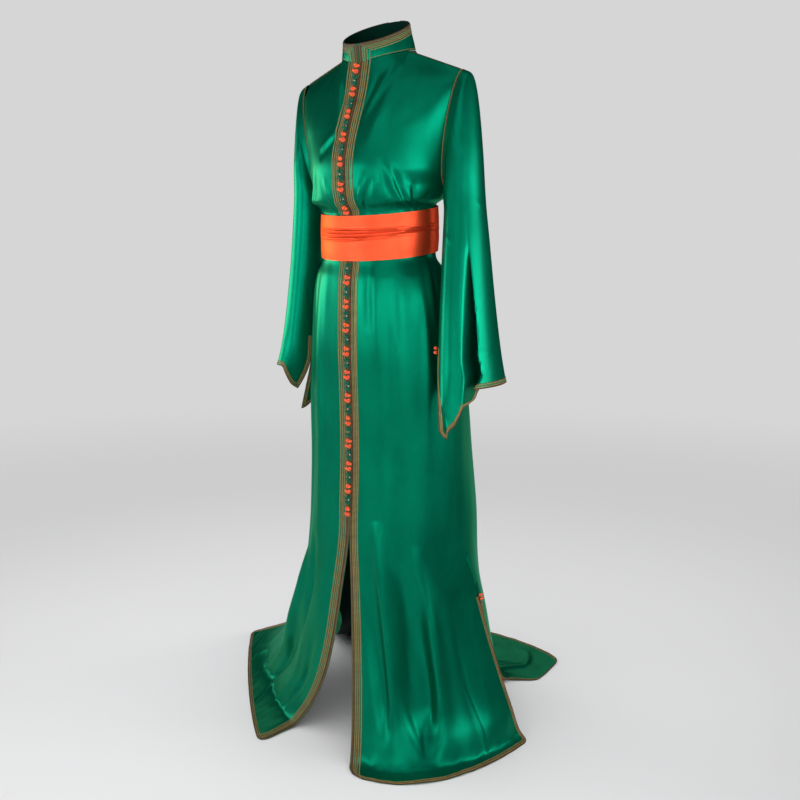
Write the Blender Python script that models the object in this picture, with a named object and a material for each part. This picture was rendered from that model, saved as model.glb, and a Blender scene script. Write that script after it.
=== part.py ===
"""Moroccan kaftan in satin, worn pose, with its sash.

Metres, +Z up.  The wearer faces -Y and +X is the wearer's left.
The origin lies between the shoulders at the height of the side neck points.
Heights in the tables are measured from the floor that the hem lies on.
"""
import math

import bmesh
import bpy
import numpy as np

# Driving sizes of the garment (metres)
SHOULDER_HEIGHT = 1.455      # floor to the side neck points, where the wearer's shoulders carry it
CLOTH = 0.0015               # satin with its turned seam allowances
SEAM_GAP = 0.0003            # clearance between neighbouring pieces
FRONT_GAP = 0.0008           # between the two front edges that the knots close
BRAID = 0.0012               # thickness of the applied braid rows
FRONT_BAND = 0.029           # width of the braid on each side of the front opening
EDGE_BAND = 0.010            # width of the braid along hems, slits and cuffs
FRONT_SLIT_DOWN = 0.955      # distances down the panels: end of the knots, where the fronts part,
SIDE_SLIT_DOWN = 1.130       # and top of the side slits
UNDERARM_DOWN = 0.262
SASH_HEIGHT = 0.090
SASH_CLOTH = 0.0020
KNOT_WIDTH = 0.0096          # one passementerie knot
KNOT_PITCH = 0.0118          # knot to knot along the opening
KNOT_PAIR_GAP = 0.0004       # extra pitch between two pairs
KNOT_CLEAR = 0.0002          # play between a knot and the braid it lies on
KNOTS_START = 0.001          # from the neck seam to the first knot
BEAD_SCALE = 0.75            # beads at the slits, against the knots
PIPING = 0.0018              # cord in the seams at the neck, shoulders and armholes
PIPING_RISE = 0.0008         # how far the collar's piping stands above the neck seam
PIPING_SETBACK = 0.0022      # from the armhole seam to its piping, which lies on the sleeve
COLLAR_CLEAR = 0.00045       # from the panels' upper surface to the collar's lower edge

SATIN_GREEN = (0.004, 0.23, 0.13, 1.0)
SASH_CORAL = (0.95, 0.10, 0.035, 1.0)
BRAID_OLIVE = (0.16, 0.115, 0.03, 1.0)
PIPING_GOLD = (0.40, 0.20, 0.05, 1.0)
KNOT_ORANGE = (0.90, 0.09, 0.03, 1.0)
KNOT_GREEN = (0.01, 0.09, 0.06, 1.0)

DENSE = 101                  # samples across one section before its columns are picked
ARC_SAMPLES = 241            # samples along a section's formula
NECK_FULLNESS = 2.1          # roundness of the neckline; 2 is an ellipse

# The armhole: a slanting oval, centre and half sizes, shared by panels and sleeves
ARMHOLE = {"x": 0.176, "y": 0.012, "height": 1.298, "half_x": 0.019, "half_height": 0.113, "half_y": 0.032}
SIDE_NECK = {"x": 0.077, "y": 0.000, "height": 1.455}
FRONT_NECK = {"y": -0.064, "height": 1.430}
BACK_NECK = {"y": 0.070, "height": 1.473}
NECK_SHARE = 0.46            # share of a panel's top edge that is neckline; the rest is shoulder

# Sections down the body to the side slits.  side_* is the armhole or the side seam, right_share
# scales it on the wearer's right, and turn is how far a section swings from front to side.
BODY_COLUMNS = ("down front_y front_height side_x side_y side_height "
                "back_y back_height fullness turn right_share")
BODY_SECTIONS = (
    (0.070, -0.078, 1.368, None, None, 1.373, 0.100, 1.395, 2.1, 55, 1.00),
    (0.150, -0.105, 1.295, None, None, 1.295, 0.106, 1.310, 2.2, 57, 1.00),
    (0.225, -0.120, 1.225, None, None, 1.217, 0.103, 1.240, 2.3, 62, 1.00),
    (0.262, -0.119, 1.188, 0.1570, 0.012, 1.185, 0.098, 1.203, 2.3, 74, 1.00),
    (0.300, -0.112, 1.155, 0.1450, 0.010, 1.163, 0.091, 1.176, 2.2, 90, 1.05),
    (0.325, -0.0975, 1.133, 0.1285, 0.006, 1.147, 0.0880, 1.162, 2.0, 90, 1.00),
    (0.372, -0.0940, 1.083, 0.1262, 0.006, 1.097, 0.0862, 1.112, 2.0, 90, 1.00),
    (0.418, -0.0962, 1.034, 0.1285, 0.006, 1.047, 0.0885, 1.060, 2.0, 90, 1.00),
    (0.455, -0.1005, 1.000, 0.1460, 0.006, 1.010, 0.1120, 1.020, 2.1, 90, 1.00),
    (0.500, -0.1030, 0.956, 0.1560, 0.006, 0.962, 0.1400, 0.966, 2.1, 90, 1.00),
    (0.590, -0.1040, 0.866, 0.1660, 0.008, 0.868, 0.1740, 0.870, 2.1, 90, 1.00),
    (0.700, -0.1000, 0.756, 0.1740, 0.012, 0.758, 0.2030, 0.758, 2.1, 90, 1.00),
    (0.810, -0.0980, 0.646, 0.1760, 0.016, 0.648, 0.2240, 0.646, 2.1, 90, 1.00),
    (0.955, -0.1030, 0.502, 0.1840, 0.024, 0.502, 0.2420, 0.500, 2.1, 90, 1.00),
)

# Below the side slits each panel goes its own way to the floor.
SPREAD_COLUMNS = "down inner_x inner_y inner_height outer_x outer_y outer_height fullness"
FRONT_LEFT_SPREAD = (
    (1.130, 0.012, -0.115, 0.325, 0.2040, 0.080, 0.325, 2.00),
    (1.290, 0.032, -0.139, 0.162, 0.2360, 0.110, 0.172, 2.00),
    (1.395, 0.046, -0.160, 0.056, 0.2620, 0.130, 0.072, 2.15),
    (1.455, 0.057, -0.180, 0.006, 0.2790, 0.139, 0.018, 2.35),
    (1.490, 0.080, -0.211, 0.000, 0.2980, 0.147, 0.000, 2.50),
)
FRONT_RIGHT_SPREAD = (
    (1.130, -0.028, -0.100, 0.325, -0.2220, 0.055, 0.325, 2.00),
    (1.290, -0.066, -0.096, 0.168, -0.3350, 0.155, 0.180, 1.65),
    (1.400, -0.118, -0.090, 0.062, -0.4780, 0.238, 0.084, 1.30),
    (1.470, -0.158, -0.112, 0.005, -0.5850, 0.276, 0.034, 1.15),
    (1.580, -0.168, -0.212, 0.000, -0.6640, 0.291, 0.000, 1.08),
)
BACK_COLUMNS = ("down left_x left_y left_height middle_x middle_y middle_height "
                "right_x right_y right_height fullness")
BACK_SPREAD = (
    (1.130, 0.2040, 0.080, 0.325, -0.020, 0.250, 0.325, -0.2220, 0.055, 0.325, 1.55),
    (1.290, 0.1580, 0.190, 0.160, -0.035, 0.320, 0.170, -0.2550, 0.170, 0.180, 2.00),
    (1.410, 0.1080, 0.325, 0.052, -0.075, 0.410, 0.055, -0.3500, 0.290, 0.075, 1.90),
    (1.480, 0.0920, 0.392, 0.008, -0.100, 0.480, 0.006, -0.4300, 0.360, 0.022, 1.80),
    (1.560, 0.1480, 0.455, 0.000, -0.125, 0.570, 0.000, -0.5200, 0.440, 0.006, 1.80),
    (1.680, 0.1340, 0.579, 0.000, -0.150, 0.672, 0.000, -0.6200, 0.540, 0.000, 1.80),
)

# Large folds.  across runs 0 to 1 over the panel; height is how far the fold stands out (+) or in (-).
# A fold is deepest a little above its middle, and fades out at both ends.
FOLD_SKEW = 0.75
FOLD_FADE = 1.2
FOLD_COLUMNS = "start end across_top across_end width height"
FRONT_LEFT_FOLDS = (
    (0.44, 0.85, 0.800, 0.740, 0.055, -0.006),
    (0.44, 1.05, 0.420, 0.400, 0.070, 0.004),
    (0.95, 1.46, 0.270, 0.235, 0.055, -0.016),
    (1.00, 1.46, 0.560, 0.500, 0.060, -0.020),
    (1.05, 1.47, 0.400, 0.365, 0.060, 0.014),
    (1.10, 1.47, 0.760, 0.720, 0.060, 0.010),
)
FRONT_RIGHT_FOLDS = (
    (0.44, 1.15, 0.420, 0.400, 0.060, -0.006),
    (0.44, 1.20, 0.640, 0.600, 0.070, 0.006),
    (1.00, 1.47, 0.460, 0.420, 0.060, 0.016),
    (1.05, 1.50, 0.640, 0.560, 0.050, -0.022),
)
BACK_FOLDS = (
    (0.00, 0.16, 0.260, 0.240, 0.110, 0.012),
    (0.00, 0.16, 0.740, 0.760, 0.110, 0.012),
    (0.44, 1.40, 0.300, 0.260, 0.045, -0.012),
    (0.44, 1.45, 0.400, 0.380, 0.045, 0.010),
    (0.44, 1.48, 0.520, 0.520, 0.040, -0.012),
    (0.44, 1.48, 0.640, 0.660, 0.045, 0.010),
    (0.46, 1.45, 0.740, 0.780, 0.045, -0.012),
)

# Sleeve rings: centre, half sizes and cuff slant.  The first ring is the armhole itself.
SLEEVE_COLUMNS = "down x y height half_x half_height half_y"
LEFT_SLEEVE = (
    (0.030, 0.1930, 0.011, 1.292, 0.024, 0.109, 0.037),
    (0.085, 0.2020, 0.009, 1.218, 0.034, 0.060, 0.047),
    (0.150, 0.2090, 0.006, 1.150, 0.035, 0.020, 0.052),
    (0.230, 0.2150, 0.003, 1.070, 0.039, 0.010, 0.061),
    (0.350, 0.2235, -0.002, 0.950, 0.044, 0.004, 0.076),
    (0.450, 0.2340, -0.008, 0.850, 0.049, 0.000, 0.089),
    (0.505, 0.2420, -0.012, 0.795, 0.052, 0.000, 0.098),
)
RIGHT_SLEEVE = (
    (0.030, -0.1910, 0.013, 1.292, 0.021, 0.109, 0.037),
    (0.085, -0.1950, 0.016, 1.218, 0.030, 0.060, 0.046),
    (0.150, -0.1980, 0.024, 1.150, 0.033, 0.020, 0.052),
    (0.230, -0.2030, 0.030, 1.070, 0.036, 0.010, 0.060),
    (0.350, -0.2110, 0.036, 0.950, 0.039, 0.004, 0.075),
    (0.450, -0.2200, 0.038, 0.850, 0.042, 0.000, 0.089),
    (0.505, -0.2270, 0.038, 0.806, 0.044, 0.000, 0.098),
)
# The slit at the front inner side of each cuff: its place as an angle from the outer line, how far
# its two corners hang below the cuff, and how far they swing outward and back.
SLEEVE_SLITS = {
    "left": {"angle": math.radians(128), "front_drop": 0.098, "back_drop": 0.090,
             "front_out": 0.020, "back_out": 0.000, "back_back": 0.030},
    "right": {"angle": math.radians(149), "front_drop": 0.060, "back_drop": 0.100,
              "front_out": 0.018, "back_out": 0.022, "back_back": 0.002},
}
SLEEVE_SLIT_DOWN = 0.440
# How the cuff hangs longer towards its slit, and how its two edges part below the top of the slit
SLEEVE_HANG = {"start": 0.30, "drop_spread": math.radians(42), "part_spread": math.radians(30), "ease": 1.3}
# The soft groove that the sleeve folds into behind the slit
SLEEVE_GROOVE = {"before_slit": math.radians(44), "spread": math.radians(17), "depth": 0.45, "start": 0.20,
                 "ease": 1.3}

# The stand collar: oval at its base and at its top
COLLAR_BASE = {"half_x": 0.0775, "front_y": -0.0645, "back_y": 0.0710, "height": 1.4315, "rise": 0.31}
COLLAR_TOP = {"half_x": 0.0690, "front_y": -0.0690, "back_y": 0.0560, "height": 1.4670, "rise": 0.49}
COLLAR_SHARES = (0.0, 0.25, 0.50, 0.75, 1.0)    # rows of the collar; braid covers the upper two
SASH_OVAL = {"half_x": 0.1324, "middle_y": 0.006, "front_y": -0.1016, "back_y": 0.0929,
             "front_height": 1.0375, "rise": 0.15, "bulge": 0.012}
SASH_SIDES = 40

# Where the cloth reaches the floor: size of the soft bend, and height over which it fades
FLOOR_BEND = 0.006
FLOOR_FADE = 0.020

# Rows and columns of the panels, as distances down and as shares of the width
SHARED_DOWNS = (0.0, 0.035, 0.070, 0.110, 0.150, 0.190, 0.225, UNDERARM_DOWN, 0.300, 0.325, 0.372, 0.418,
                0.455, 0.500, 0.555, 0.610, 0.665, 0.720, 0.780, 0.840, 0.897, FRONT_SLIT_DOWN, 1.010, 1.070,
                SIDE_SLIT_DOWN)
LOWER_ROWS = 7
LAST_ROW_STEP = 0.012
UNDERARM_ROW = SHARED_DOWNS.index(UNDERARM_DOWN)
FRONT_SLIT_ROW = SHARED_DOWNS.index(FRONT_SLIT_DOWN)
SIDE_SLIT_ROW = SHARED_DOWNS.index(SIDE_SLIT_DOWN)
FRONT_SHARES = (0.22, 0.34, NECK_SHARE, 0.56, 0.66, 0.76, 0.86)
FRONT_NECK_COLUMN = 5
FRONT_BAND_COLUMNS = 2
BACK_SHARES = (0.07, 0.12, 0.17, 0.22, 0.27, 0.35, 0.45, 0.55, 0.65, 0.73, 0.78, 0.83, 0.88, 0.93)
BACK_NECK_COLUMNS = (6, 11)

# Rows and sides of the sleeves
SLEEVE_SIDES = 20
SLEEVE_DOWNS = (0.0, 0.030, 0.065, 0.105, 0.150, 0.205, 0.265, 0.325, 0.370, 0.408, SLEEVE_SLIT_DOWN, 0.468,
                0.494, 0.505)
SLEEVE_SLIT_ROW = SLEEVE_DOWNS.index(SLEEVE_SLIT_DOWN)
SLIT_BAND_ANGLE = math.radians(6.5)    # width of the braid at the sleeve slit, as an angle

# The shoulder piping stops short of the neck and the armhole, by these shares of a panel cell
SHOULDER_PIPING_ENDS = {"neck": 0.25, "armhole": 0.15}

# Outline of a pair of round knots: radius and height, as shares of a knot's radius and the pair's half
# length
KNOT_PROFILE = ((0.0, -1.0), (0.68, -0.86), (1.0, -0.50), (0.68, -0.10), (0.68, 0.10),
                (1.0, 0.50), (0.68, 0.86), (0.0, 1.0))
KNOT_SIDES = 8


def table(columns, rows):
    """Return a table as a dictionary of one array for each named column."""
    names = columns.split()
    return {name: np.array([math.nan if row[i] is None else row[i] for row in rows])
            for i, name in enumerate(names)}


def smooth_along(knots, values, at):
    """Monotone cubic interpolation of rows of values at the given distances."""
    knots = np.asarray(knots, float)
    values = np.asarray(values, float)
    at = np.clip(np.asarray(at, float), knots[0], knots[-1])
    steps = np.diff(knots).reshape((-1,) + (1,) * (values.ndim - 1))
    slopes = np.diff(values, axis=0) / steps
    same_way = slopes[1:] * slopes[:-1] > 0
    safe_sum = np.where(same_way, slopes[1:] + slopes[:-1], 1.0)
    inner = np.where(same_way, 2.0 * slopes[1:] * slopes[:-1] / safe_sum, 0.0)
    tangents = np.concatenate([slopes[:1], inner, slopes[-1:]])
    k = np.clip(np.searchsorted(knots, at, side="right") - 1, 0, len(knots) - 2)
    h = (knots[k + 1] - knots[k]).reshape((-1,) + (1,) * (values.ndim - 1))
    s = ((at - knots[k]) / (knots[k + 1] - knots[k])).reshape(h.shape)
    return ((1 + 2 * s) * (1 - s) ** 2 * values[k] + s * (1 - s) ** 2 * h * tangents[k]
            + s * s * (3 - 2 * s) * values[k + 1] + s * s * (s - 1) * h * tangents[k + 1])


def lengths_along(points):
    """Distance along a row of points, starting at zero."""
    return np.concatenate([[0.0], np.cumsum(np.linalg.norm(np.diff(points, axis=0), axis=1))])


def evenly_spaced(points, count):
    """Resample a row of points at equal distances."""
    along = lengths_along(points)
    wanted = np.linspace(0, along[-1], count)
    return np.column_stack([np.interp(wanted, along, points[:, i]) for i in range(3)])


def quarter_round(start, end, fullness, turn=90.0):
    """Section from start, where it runs along X, swinging round to end by turn degrees."""
    t = np.linspace(0, math.radians(turn), ARC_SAMPLES)
    sx = np.sin(t) ** (2 / fullness)
    cy = np.abs(np.cos(t)) ** (2 / fullness)
    x = start[0] + (end[0] - start[0]) * sx / sx[-1]
    y = end[1] + (start[1] - end[1]) * (cy - cy[-1]) / (1 - cy[-1])
    z = start[2] + (end[2] - start[2]) * (t / t[-1])
    return evenly_spaced(np.column_stack([x, y, z]), DENSE)


def armhole_point(side, angle, front=True):
    """Point of the armhole; angle 0 is the shoulder point and pi the underarm."""
    a = ARMHOLE
    y = a["y"] - math.sin(angle) * a["half_y"] * (1 if front else -1)
    return (side * (a["x"] + a["half_x"] * math.cos(angle)), y,
            a["height"] + a["half_height"] * math.cos(angle))


def side_point(side, section, front):
    """End of a section at the armhole or the side seam, the same for front and back."""
    height = section["side_height"]
    if math.isnan(section["side_y"]):
        cosine = (height - ARMHOLE["height"]) / ARMHOLE["half_height"]
        return armhole_point(side, math.acos(cosine), front)
    share = section["right_share"] if side < 0 else 1.0
    return (side * section["side_x"] * share, section["side_y"], height)


def top_edge(side, front):
    """Half of a panel's top: the neckline from the centre, then the shoulder seam."""
    neck = FRONT_NECK if front else BACK_NECK
    start = (side * FRONT_GAP / 2 if front else 0.0, neck["y"], neck["height"])
    side_neck = (side * SIDE_NECK["x"], SIDE_NECK["y"], SIDE_NECK["height"])
    neckline = quarter_round(start, side_neck, NECK_FULLNESS)
    count = int(round(NECK_SHARE * (DENSE - 1)))
    neckline = evenly_spaced(neckline, count + 1)
    shoulder = np.linspace(side_neck, armhole_point(side, 0.0), DENSE - count)
    return np.vstack([neckline[:-1], shoulder])


def body_section_rows():
    """Rows of the body table, each as a dictionary."""
    columns = table(BODY_COLUMNS, BODY_SECTIONS)
    return [{name: values[i] for name, values in columns.items()} for i in range(len(BODY_SECTIONS))]


def front_sections(side, spread_rows):
    """All sections of one front panel, with their distances down."""
    downs = [0.0]
    curves = [top_edge(side, True)]
    for section in body_section_rows():
        start = (side * FRONT_GAP / 2, section["front_y"], section["front_height"])
        downs.append(section["down"])
        end = side_point(side, section, True)
        curves.append(quarter_round(start, end, section["fullness"], section["turn"]))
    spread = table(SPREAD_COLUMNS, spread_rows)
    for i, down in enumerate(spread["down"]):
        start = (spread["inner_x"][i], spread["inner_y"][i], spread["inner_height"][i])
        end = (spread["outer_x"][i], spread["outer_y"][i], spread["outer_height"][i])
        downs.append(down)
        curves.append(quarter_round(start, end, spread["fullness"][i]))
    return downs, np.array(curves)


def back_sections():
    """All sections of the back panel, from the wearer's left round to the right."""
    downs = [0.0]
    halves = [(top_edge(1, False), top_edge(-1, False))]
    for section in body_section_rows():
        middle = (0.0, section["back_y"], section["back_height"])
        downs.append(section["down"])
        ends = [side_point(side, section, False) for side in (1, -1)]
        halves.append(tuple(quarter_round(middle, end, section["fullness"], section["turn"]) for end in ends))
    spread = table(BACK_COLUMNS, BACK_SPREAD)
    for i, down in enumerate(spread["down"]):
        middle = tuple(spread["middle_" + axis][i] for axis in ("x", "y", "height"))
        ends = [tuple(spread[name + axis][i] for axis in ("x", "y", "height"))
                for name in ("left_", "right_")]
        downs.append(down)
        halves.append(tuple(quarter_round(middle, end, spread["fullness"][i]) for end in ends))
    return downs, np.array([np.vstack([left[::-1], right[1:]]) for left, right in halves])


def surface_normals(points, outward):
    """Unit normals of a grid of points; outward is +1 or -1."""
    across = np.gradient(points, axis=1)
    down = np.gradient(points, axis=0)
    normals = np.cross(across, down) * outward
    return normals / np.linalg.norm(normals, axis=2, keepdims=True)


def add_folds(points, downs, folds, outward):
    """Push the surface out or in along soft ridges and troughs."""
    columns = table(FOLD_COLUMNS, folds)
    across = np.linspace(0, 1, points.shape[1])[None, :]
    down = np.asarray(downs)[:, None]
    push = np.zeros(points.shape[:2])
    for i in range(len(folds)):
        start, end = columns["start"][i], columns["end"][i]
        share = np.clip((down - start) / (end - start), 0, 1)
        centre = columns["across_top"][i] + (columns["across_end"][i] - columns["across_top"][i]) * share
        strength = np.sin(math.pi * share ** FOLD_SKEW) ** FOLD_FADE * (down < end)
        push += columns["height"][i] * strength * np.exp(-((across - centre) / columns["width"][i]) ** 2)
    normals = surface_normals(points, outward)
    return points + normals * push[:, :, None]


def rest_on_floor(points):
    """Keep the cloth on the floor, with a soft bend where it lands."""
    lowest = CLOTH / 2
    height = points[:, :, 2] - lowest
    rounded = 0.5 * (height + np.sqrt(height ** 2 + FLOOR_BEND ** 2))
    settled = rounded - FLOOR_BEND / 2 * np.exp(-height / FLOOR_FADE)
    points[:, :, 2] = lowest + np.maximum(settled, 0.0)
    return points


def pick_columns(points, bands_start, middle, bands_end):
    """Take columns at fixed distances from both edges and at shares of the width between."""
    rows = []
    for row in points:
        along = lengths_along(row)
        share = np.linspace(0, 1, len(row))
        wanted = np.concatenate([
            np.interp(bands_start, along, share), middle,
            np.interp(along[-1] - np.array(bands_end), along, share)])
        rows.append(np.column_stack([np.interp(wanted, share, row[:, i]) for i in range(3)]))
    return np.array(rows)


def set_edge_row(points, width):
    """Move the row before the last to a fixed distance from the last."""
    step = points[-2] - points[-1]
    points[-2] = points[-1] + step / np.linalg.norm(step, axis=1, keepdims=True) * width
    return points


def pull_in(points, edge, gap):
    """Draw an edge of a grid back from its seam: edge is 'top', 'start' or 'end'."""
    near, next_in = {"top": (np.s_[0], np.s_[1]), "start": (np.s_[:, 0], np.s_[:, 1]),
                     "end": (np.s_[:, -1], np.s_[:, -2])}[edge]
    step = points[next_in] - points[near]
    points[near] += step / np.linalg.norm(step, axis=1, keepdims=True) * gap
    return points


def wall_mesh(points, normals, inner, outer, cells=None, ids=None):
    """Closed wall over the chosen cells of a grid, from one distance off it to another."""
    rows, cols = points.shape[:2]
    if cells is None:
        cells = np.ones((rows - 1, cols - 1), bool)
    if ids is None:
        ids = np.arange(rows * cols).reshape(rows, cols)
    used = {}
    low = []
    high = []
    quads = []
    for i, j in np.argwhere(cells):
        corners = []
        for a, b in ((i, j), (i, j + 1), (i + 1, j + 1), (i + 1, j)):
            key = ids[a, b]
            if key not in used:
                used[key] = len(low)
                low.append(points[a, b] + normals[a, b] * inner)
                high.append(points[a, b] + normals[a, b] * outer)
            corners.append(used[key])
        quads.append(corners)
    count = len(low)
    triangles = [triangle for a, b, c, d in quads for triangle in ((a, b, c), (a, c, d))]
    faces = [list(triangle) for triangle in triangles]
    faces += [[k + count for k in reversed(triangle)] for triangle in triangles]
    edges = {(quad[k], quad[(k + 1) % 4]) for quad in quads for k in range(4)}
    for a, b in sorted(edges):
        if (b, a) not in edges:
            faces.append([b, a, a + count, b + count])
    return low + high, faces


def cord_mesh(points, normals, lift, width, closed=False):
    """A square cord that follows a line, its underside lifted off the line along the normals."""
    ahead = np.roll(points, -1, axis=0) - np.roll(points, 1, axis=0)
    if not closed:
        ahead[0] = points[1] - points[0]
        ahead[-1] = points[-1] - points[-2]
    ahead /= np.linalg.norm(ahead, axis=1, keepdims=True)
    sideways = np.cross(ahead, normals)
    sideways /= np.linalg.norm(sideways, axis=1, keepdims=True)
    corners = ((-0.5, 0.0), (0.5, 0.0), (0.5, 1.0), (-0.5, 1.0))
    verts = [point + sideways[i] * across * width + normals[i] * (lift + up * width)
             for i, point in enumerate(points) for across, up in corners]
    faces = []
    count = len(points)
    for i in range(count if closed else count - 1):
        after = (i + 1) % count
        for k in range(4):
            m = (k + 1) % 4
            faces.append([i * 4 + k, i * 4 + m, after * 4 + m, after * 4 + k])
    if not closed:
        faces.append([3, 2, 1, 0])
        faces.append([(count - 1) * 4 + k for k in range(4)])
    return verts, faces


def knot_pair_mesh(centre, along, outward, scale):
    """Two round knots, one above the other, turned about the line of the opening."""
    along = along / np.linalg.norm(along)
    sideways = np.cross(along, outward)
    sideways /= np.linalg.norm(sideways)
    outward = np.cross(sideways, along)
    verts = []
    rings = []
    for radius, height in KNOT_PROFILE:
        sides = 1 if radius == 0 else KNOT_SIDES
        ring = []
        for k in range(sides):
            angle = 2 * math.pi * k / KNOT_SIDES
            ring.append(len(verts))
            spoke = sideways * math.cos(angle) + outward * math.sin(angle)
            reach = along * height * (KNOT_PITCH + KNOT_WIDTH) / 2 + spoke * radius * KNOT_WIDTH / 2
            verts.append(centre + reach * scale)
        rings.append(ring)
    faces = []
    for low, high in zip(rings, rings[1:]):
        for k in range(KNOT_SIDES):
            m = (k + 1) % KNOT_SIDES
            corners = [low[k % len(low)], low[m % len(low)], high[m % len(high)], high[k % len(high)]]
            faces.append(list(dict.fromkeys(corners)))
    return verts, faces


def material(name, colour, roughness):
    """A Principled material in one colour."""
    made = bpy.data.materials.new(name)
    made.use_nodes = True
    shader = made.node_tree.nodes["Principled BSDF"]
    shader.inputs["Base Color"].default_value = colour
    shader.inputs["Roughness"].default_value = roughness
    made.diffuse_color = colour
    return made


def add_piece(name, mesh_data, surface):
    """Make an object from vertices measured from the floor, with its faces turned outward."""
    verts, faces = mesh_data
    mesh = bpy.data.meshes.new(name)
    mesh.from_pydata([(x, y, z - SHOULDER_HEIGHT) for x, y, z in verts], [], faces)
    shape = bmesh.new()
    shape.from_mesh(mesh)
    bmesh.ops.recalc_face_normals(shape, faces=shape.faces)
    shape.to_mesh(mesh)
    shape.free()
    mesh.shade_smooth()
    mesh.set_sharp_from_angle(angle=math.radians(40))
    mesh.materials.append(surface)
    piece = bpy.data.objects.new(name, mesh)
    bpy.context.collection.objects.link(piece)
    return piece


def lower_downs(last):
    """Distances of the rows from the side slits to the hem."""
    return tuple(np.linspace(SIDE_SLIT_DOWN, last - LAST_ROW_STEP, LOWER_ROWS + 1)[1:]) + (last,)


def front_panel(side):
    """Grid of one front, from its centre edge round to the side."""
    spread = FRONT_LEFT_SPREAD if side > 0 else FRONT_RIGHT_SPREAD
    folds = FRONT_LEFT_FOLDS if side > 0 else FRONT_RIGHT_FOLDS
    knots, curves = front_sections(side, spread)
    downs = SHARED_DOWNS + lower_downs(knots[-1])
    points = smooth_along(knots, curves, downs)
    points = rest_on_floor(add_folds(points, downs, folds, side))
    points = pick_columns(points, (0.0, FRONT_BAND / 2, FRONT_BAND), FRONT_SHARES, (EDGE_BAND, 0.0))
    return set_edge_row(points, EDGE_BAND)


def back_panel():
    """Grid of the back, from the wearer's left side round to the right."""
    knots, curves = back_sections()
    downs = SHARED_DOWNS + lower_downs(knots[-1])
    points = smooth_along(knots, curves, downs)
    points = rest_on_floor(add_folds(points, downs, BACK_FOLDS, -1))
    points = pick_columns(points, (0.0, EDGE_BAND), BACK_SHARES, (EDGE_BAND, 0.0))
    return set_edge_row(points, EDGE_BAND)


def sleeve_grid(side, rings, slit):
    """Grid of one sleeve: from the slit line round over the front, outer and back lines."""
    columns = table(SLEEVE_COLUMNS, rings)
    turned = np.linspace(SLIT_BAND_ANGLE, 2 * math.pi - SLIT_BAND_ANGLE, SLEEVE_SIDES - 1)
    from_start = np.concatenate([[0.0], turned, [2 * math.pi]])
    angles = slit["angle"] - from_start
    downs = np.concatenate([[0.0], columns["down"]])
    curves = [np.array([armhole_point(side, angle) for angle in angles])]
    for i in range(len(rings)):
        curves.append(np.column_stack([
            columns["x"][i] + side * columns["half_x"][i] * np.cos(angles),
            columns["y"][i] - columns["half_y"][i] * np.sin(angles),
            columns["height"][i] + columns["half_height"][i] * np.cos(angles)]))
    points = smooth_along(downs, np.array(curves), SLEEVE_DOWNS)

    middle = points[:, :-1].mean(axis=1, keepdims=True)
    down = np.array(SLEEVE_DOWNS)[:, None]
    groove = SLEEVE_GROOVE
    deepening = np.clip((down - groove["start"]) / (downs[-1] - groove["start"]), 0, 1) ** groove["ease"]
    nearness = np.exp(-((from_start - groove["before_slit"]) / groove["spread"]) ** 2)
    dent = groove["depth"] * deepening * nearness
    points = middle + (points - middle) * (1 - dent)[:, :, None]

    from_slit = np.minimum(from_start, 2 * math.pi - from_start)[None, :]
    front_edge = (from_start < math.pi)[None, :]
    hang = SLEEVE_HANG
    lengthening = np.clip((down - hang["start"]) / (downs[-1] - hang["start"]), 0, 1) ** 2
    drop = np.where(front_edge, slit["front_drop"], slit["back_drop"])
    parting = np.clip((down - SLEEVE_SLIT_DOWN) / (downs[-1] - SLEEVE_SLIT_DOWN), 0, 1) ** hang["ease"]
    common = (slit["front_drop"] + slit["back_drop"]) / 2
    drop = common + (drop - common) * parting
    points[:, :, 2] -= drop * lengthening * np.exp(-(from_slit / hang["drop_spread"]) ** 2)
    near_slit = parting * np.exp(-(from_slit / hang["part_spread"]) ** 2)
    points[:, :, 0] += side * near_slit * np.where(front_edge, slit["front_out"], slit["back_out"])
    points[:, :, 1] += near_slit * np.where(front_edge, 0.0, slit["back_back"])
    points[0, :, 0] += side * (SEAM_GAP + CLOTH / 2)
    return set_edge_row(points, EDGE_BAND)


def sleeve_normals(points, side):
    """Outward normals of a sleeve, which closes on itself above its slit."""
    around = np.concatenate([points[:, -2:-1], points, points[:, 1:2]], axis=1)
    normals = surface_normals(around, -side)[:, 1:-1]
    open_rows = surface_normals(points, -side)
    normals[SLEEVE_SLIT_ROW + 1:] = open_rows[SLEEVE_SLIT_ROW + 1:]
    return normals


def share_points(first, second):
    """Lay two seam edges on one line."""
    mean = (first + second) / 2
    first[...] = mean
    second[...] = mean


def share_normals(first, second):
    """Give two seam edges one set of normals, so that their end faces meet squarely."""
    mean = first + second
    mean /= np.linalg.norm(mean, axis=-1, keepdims=True)
    first[...] = mean
    second[...] = mean


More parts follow.
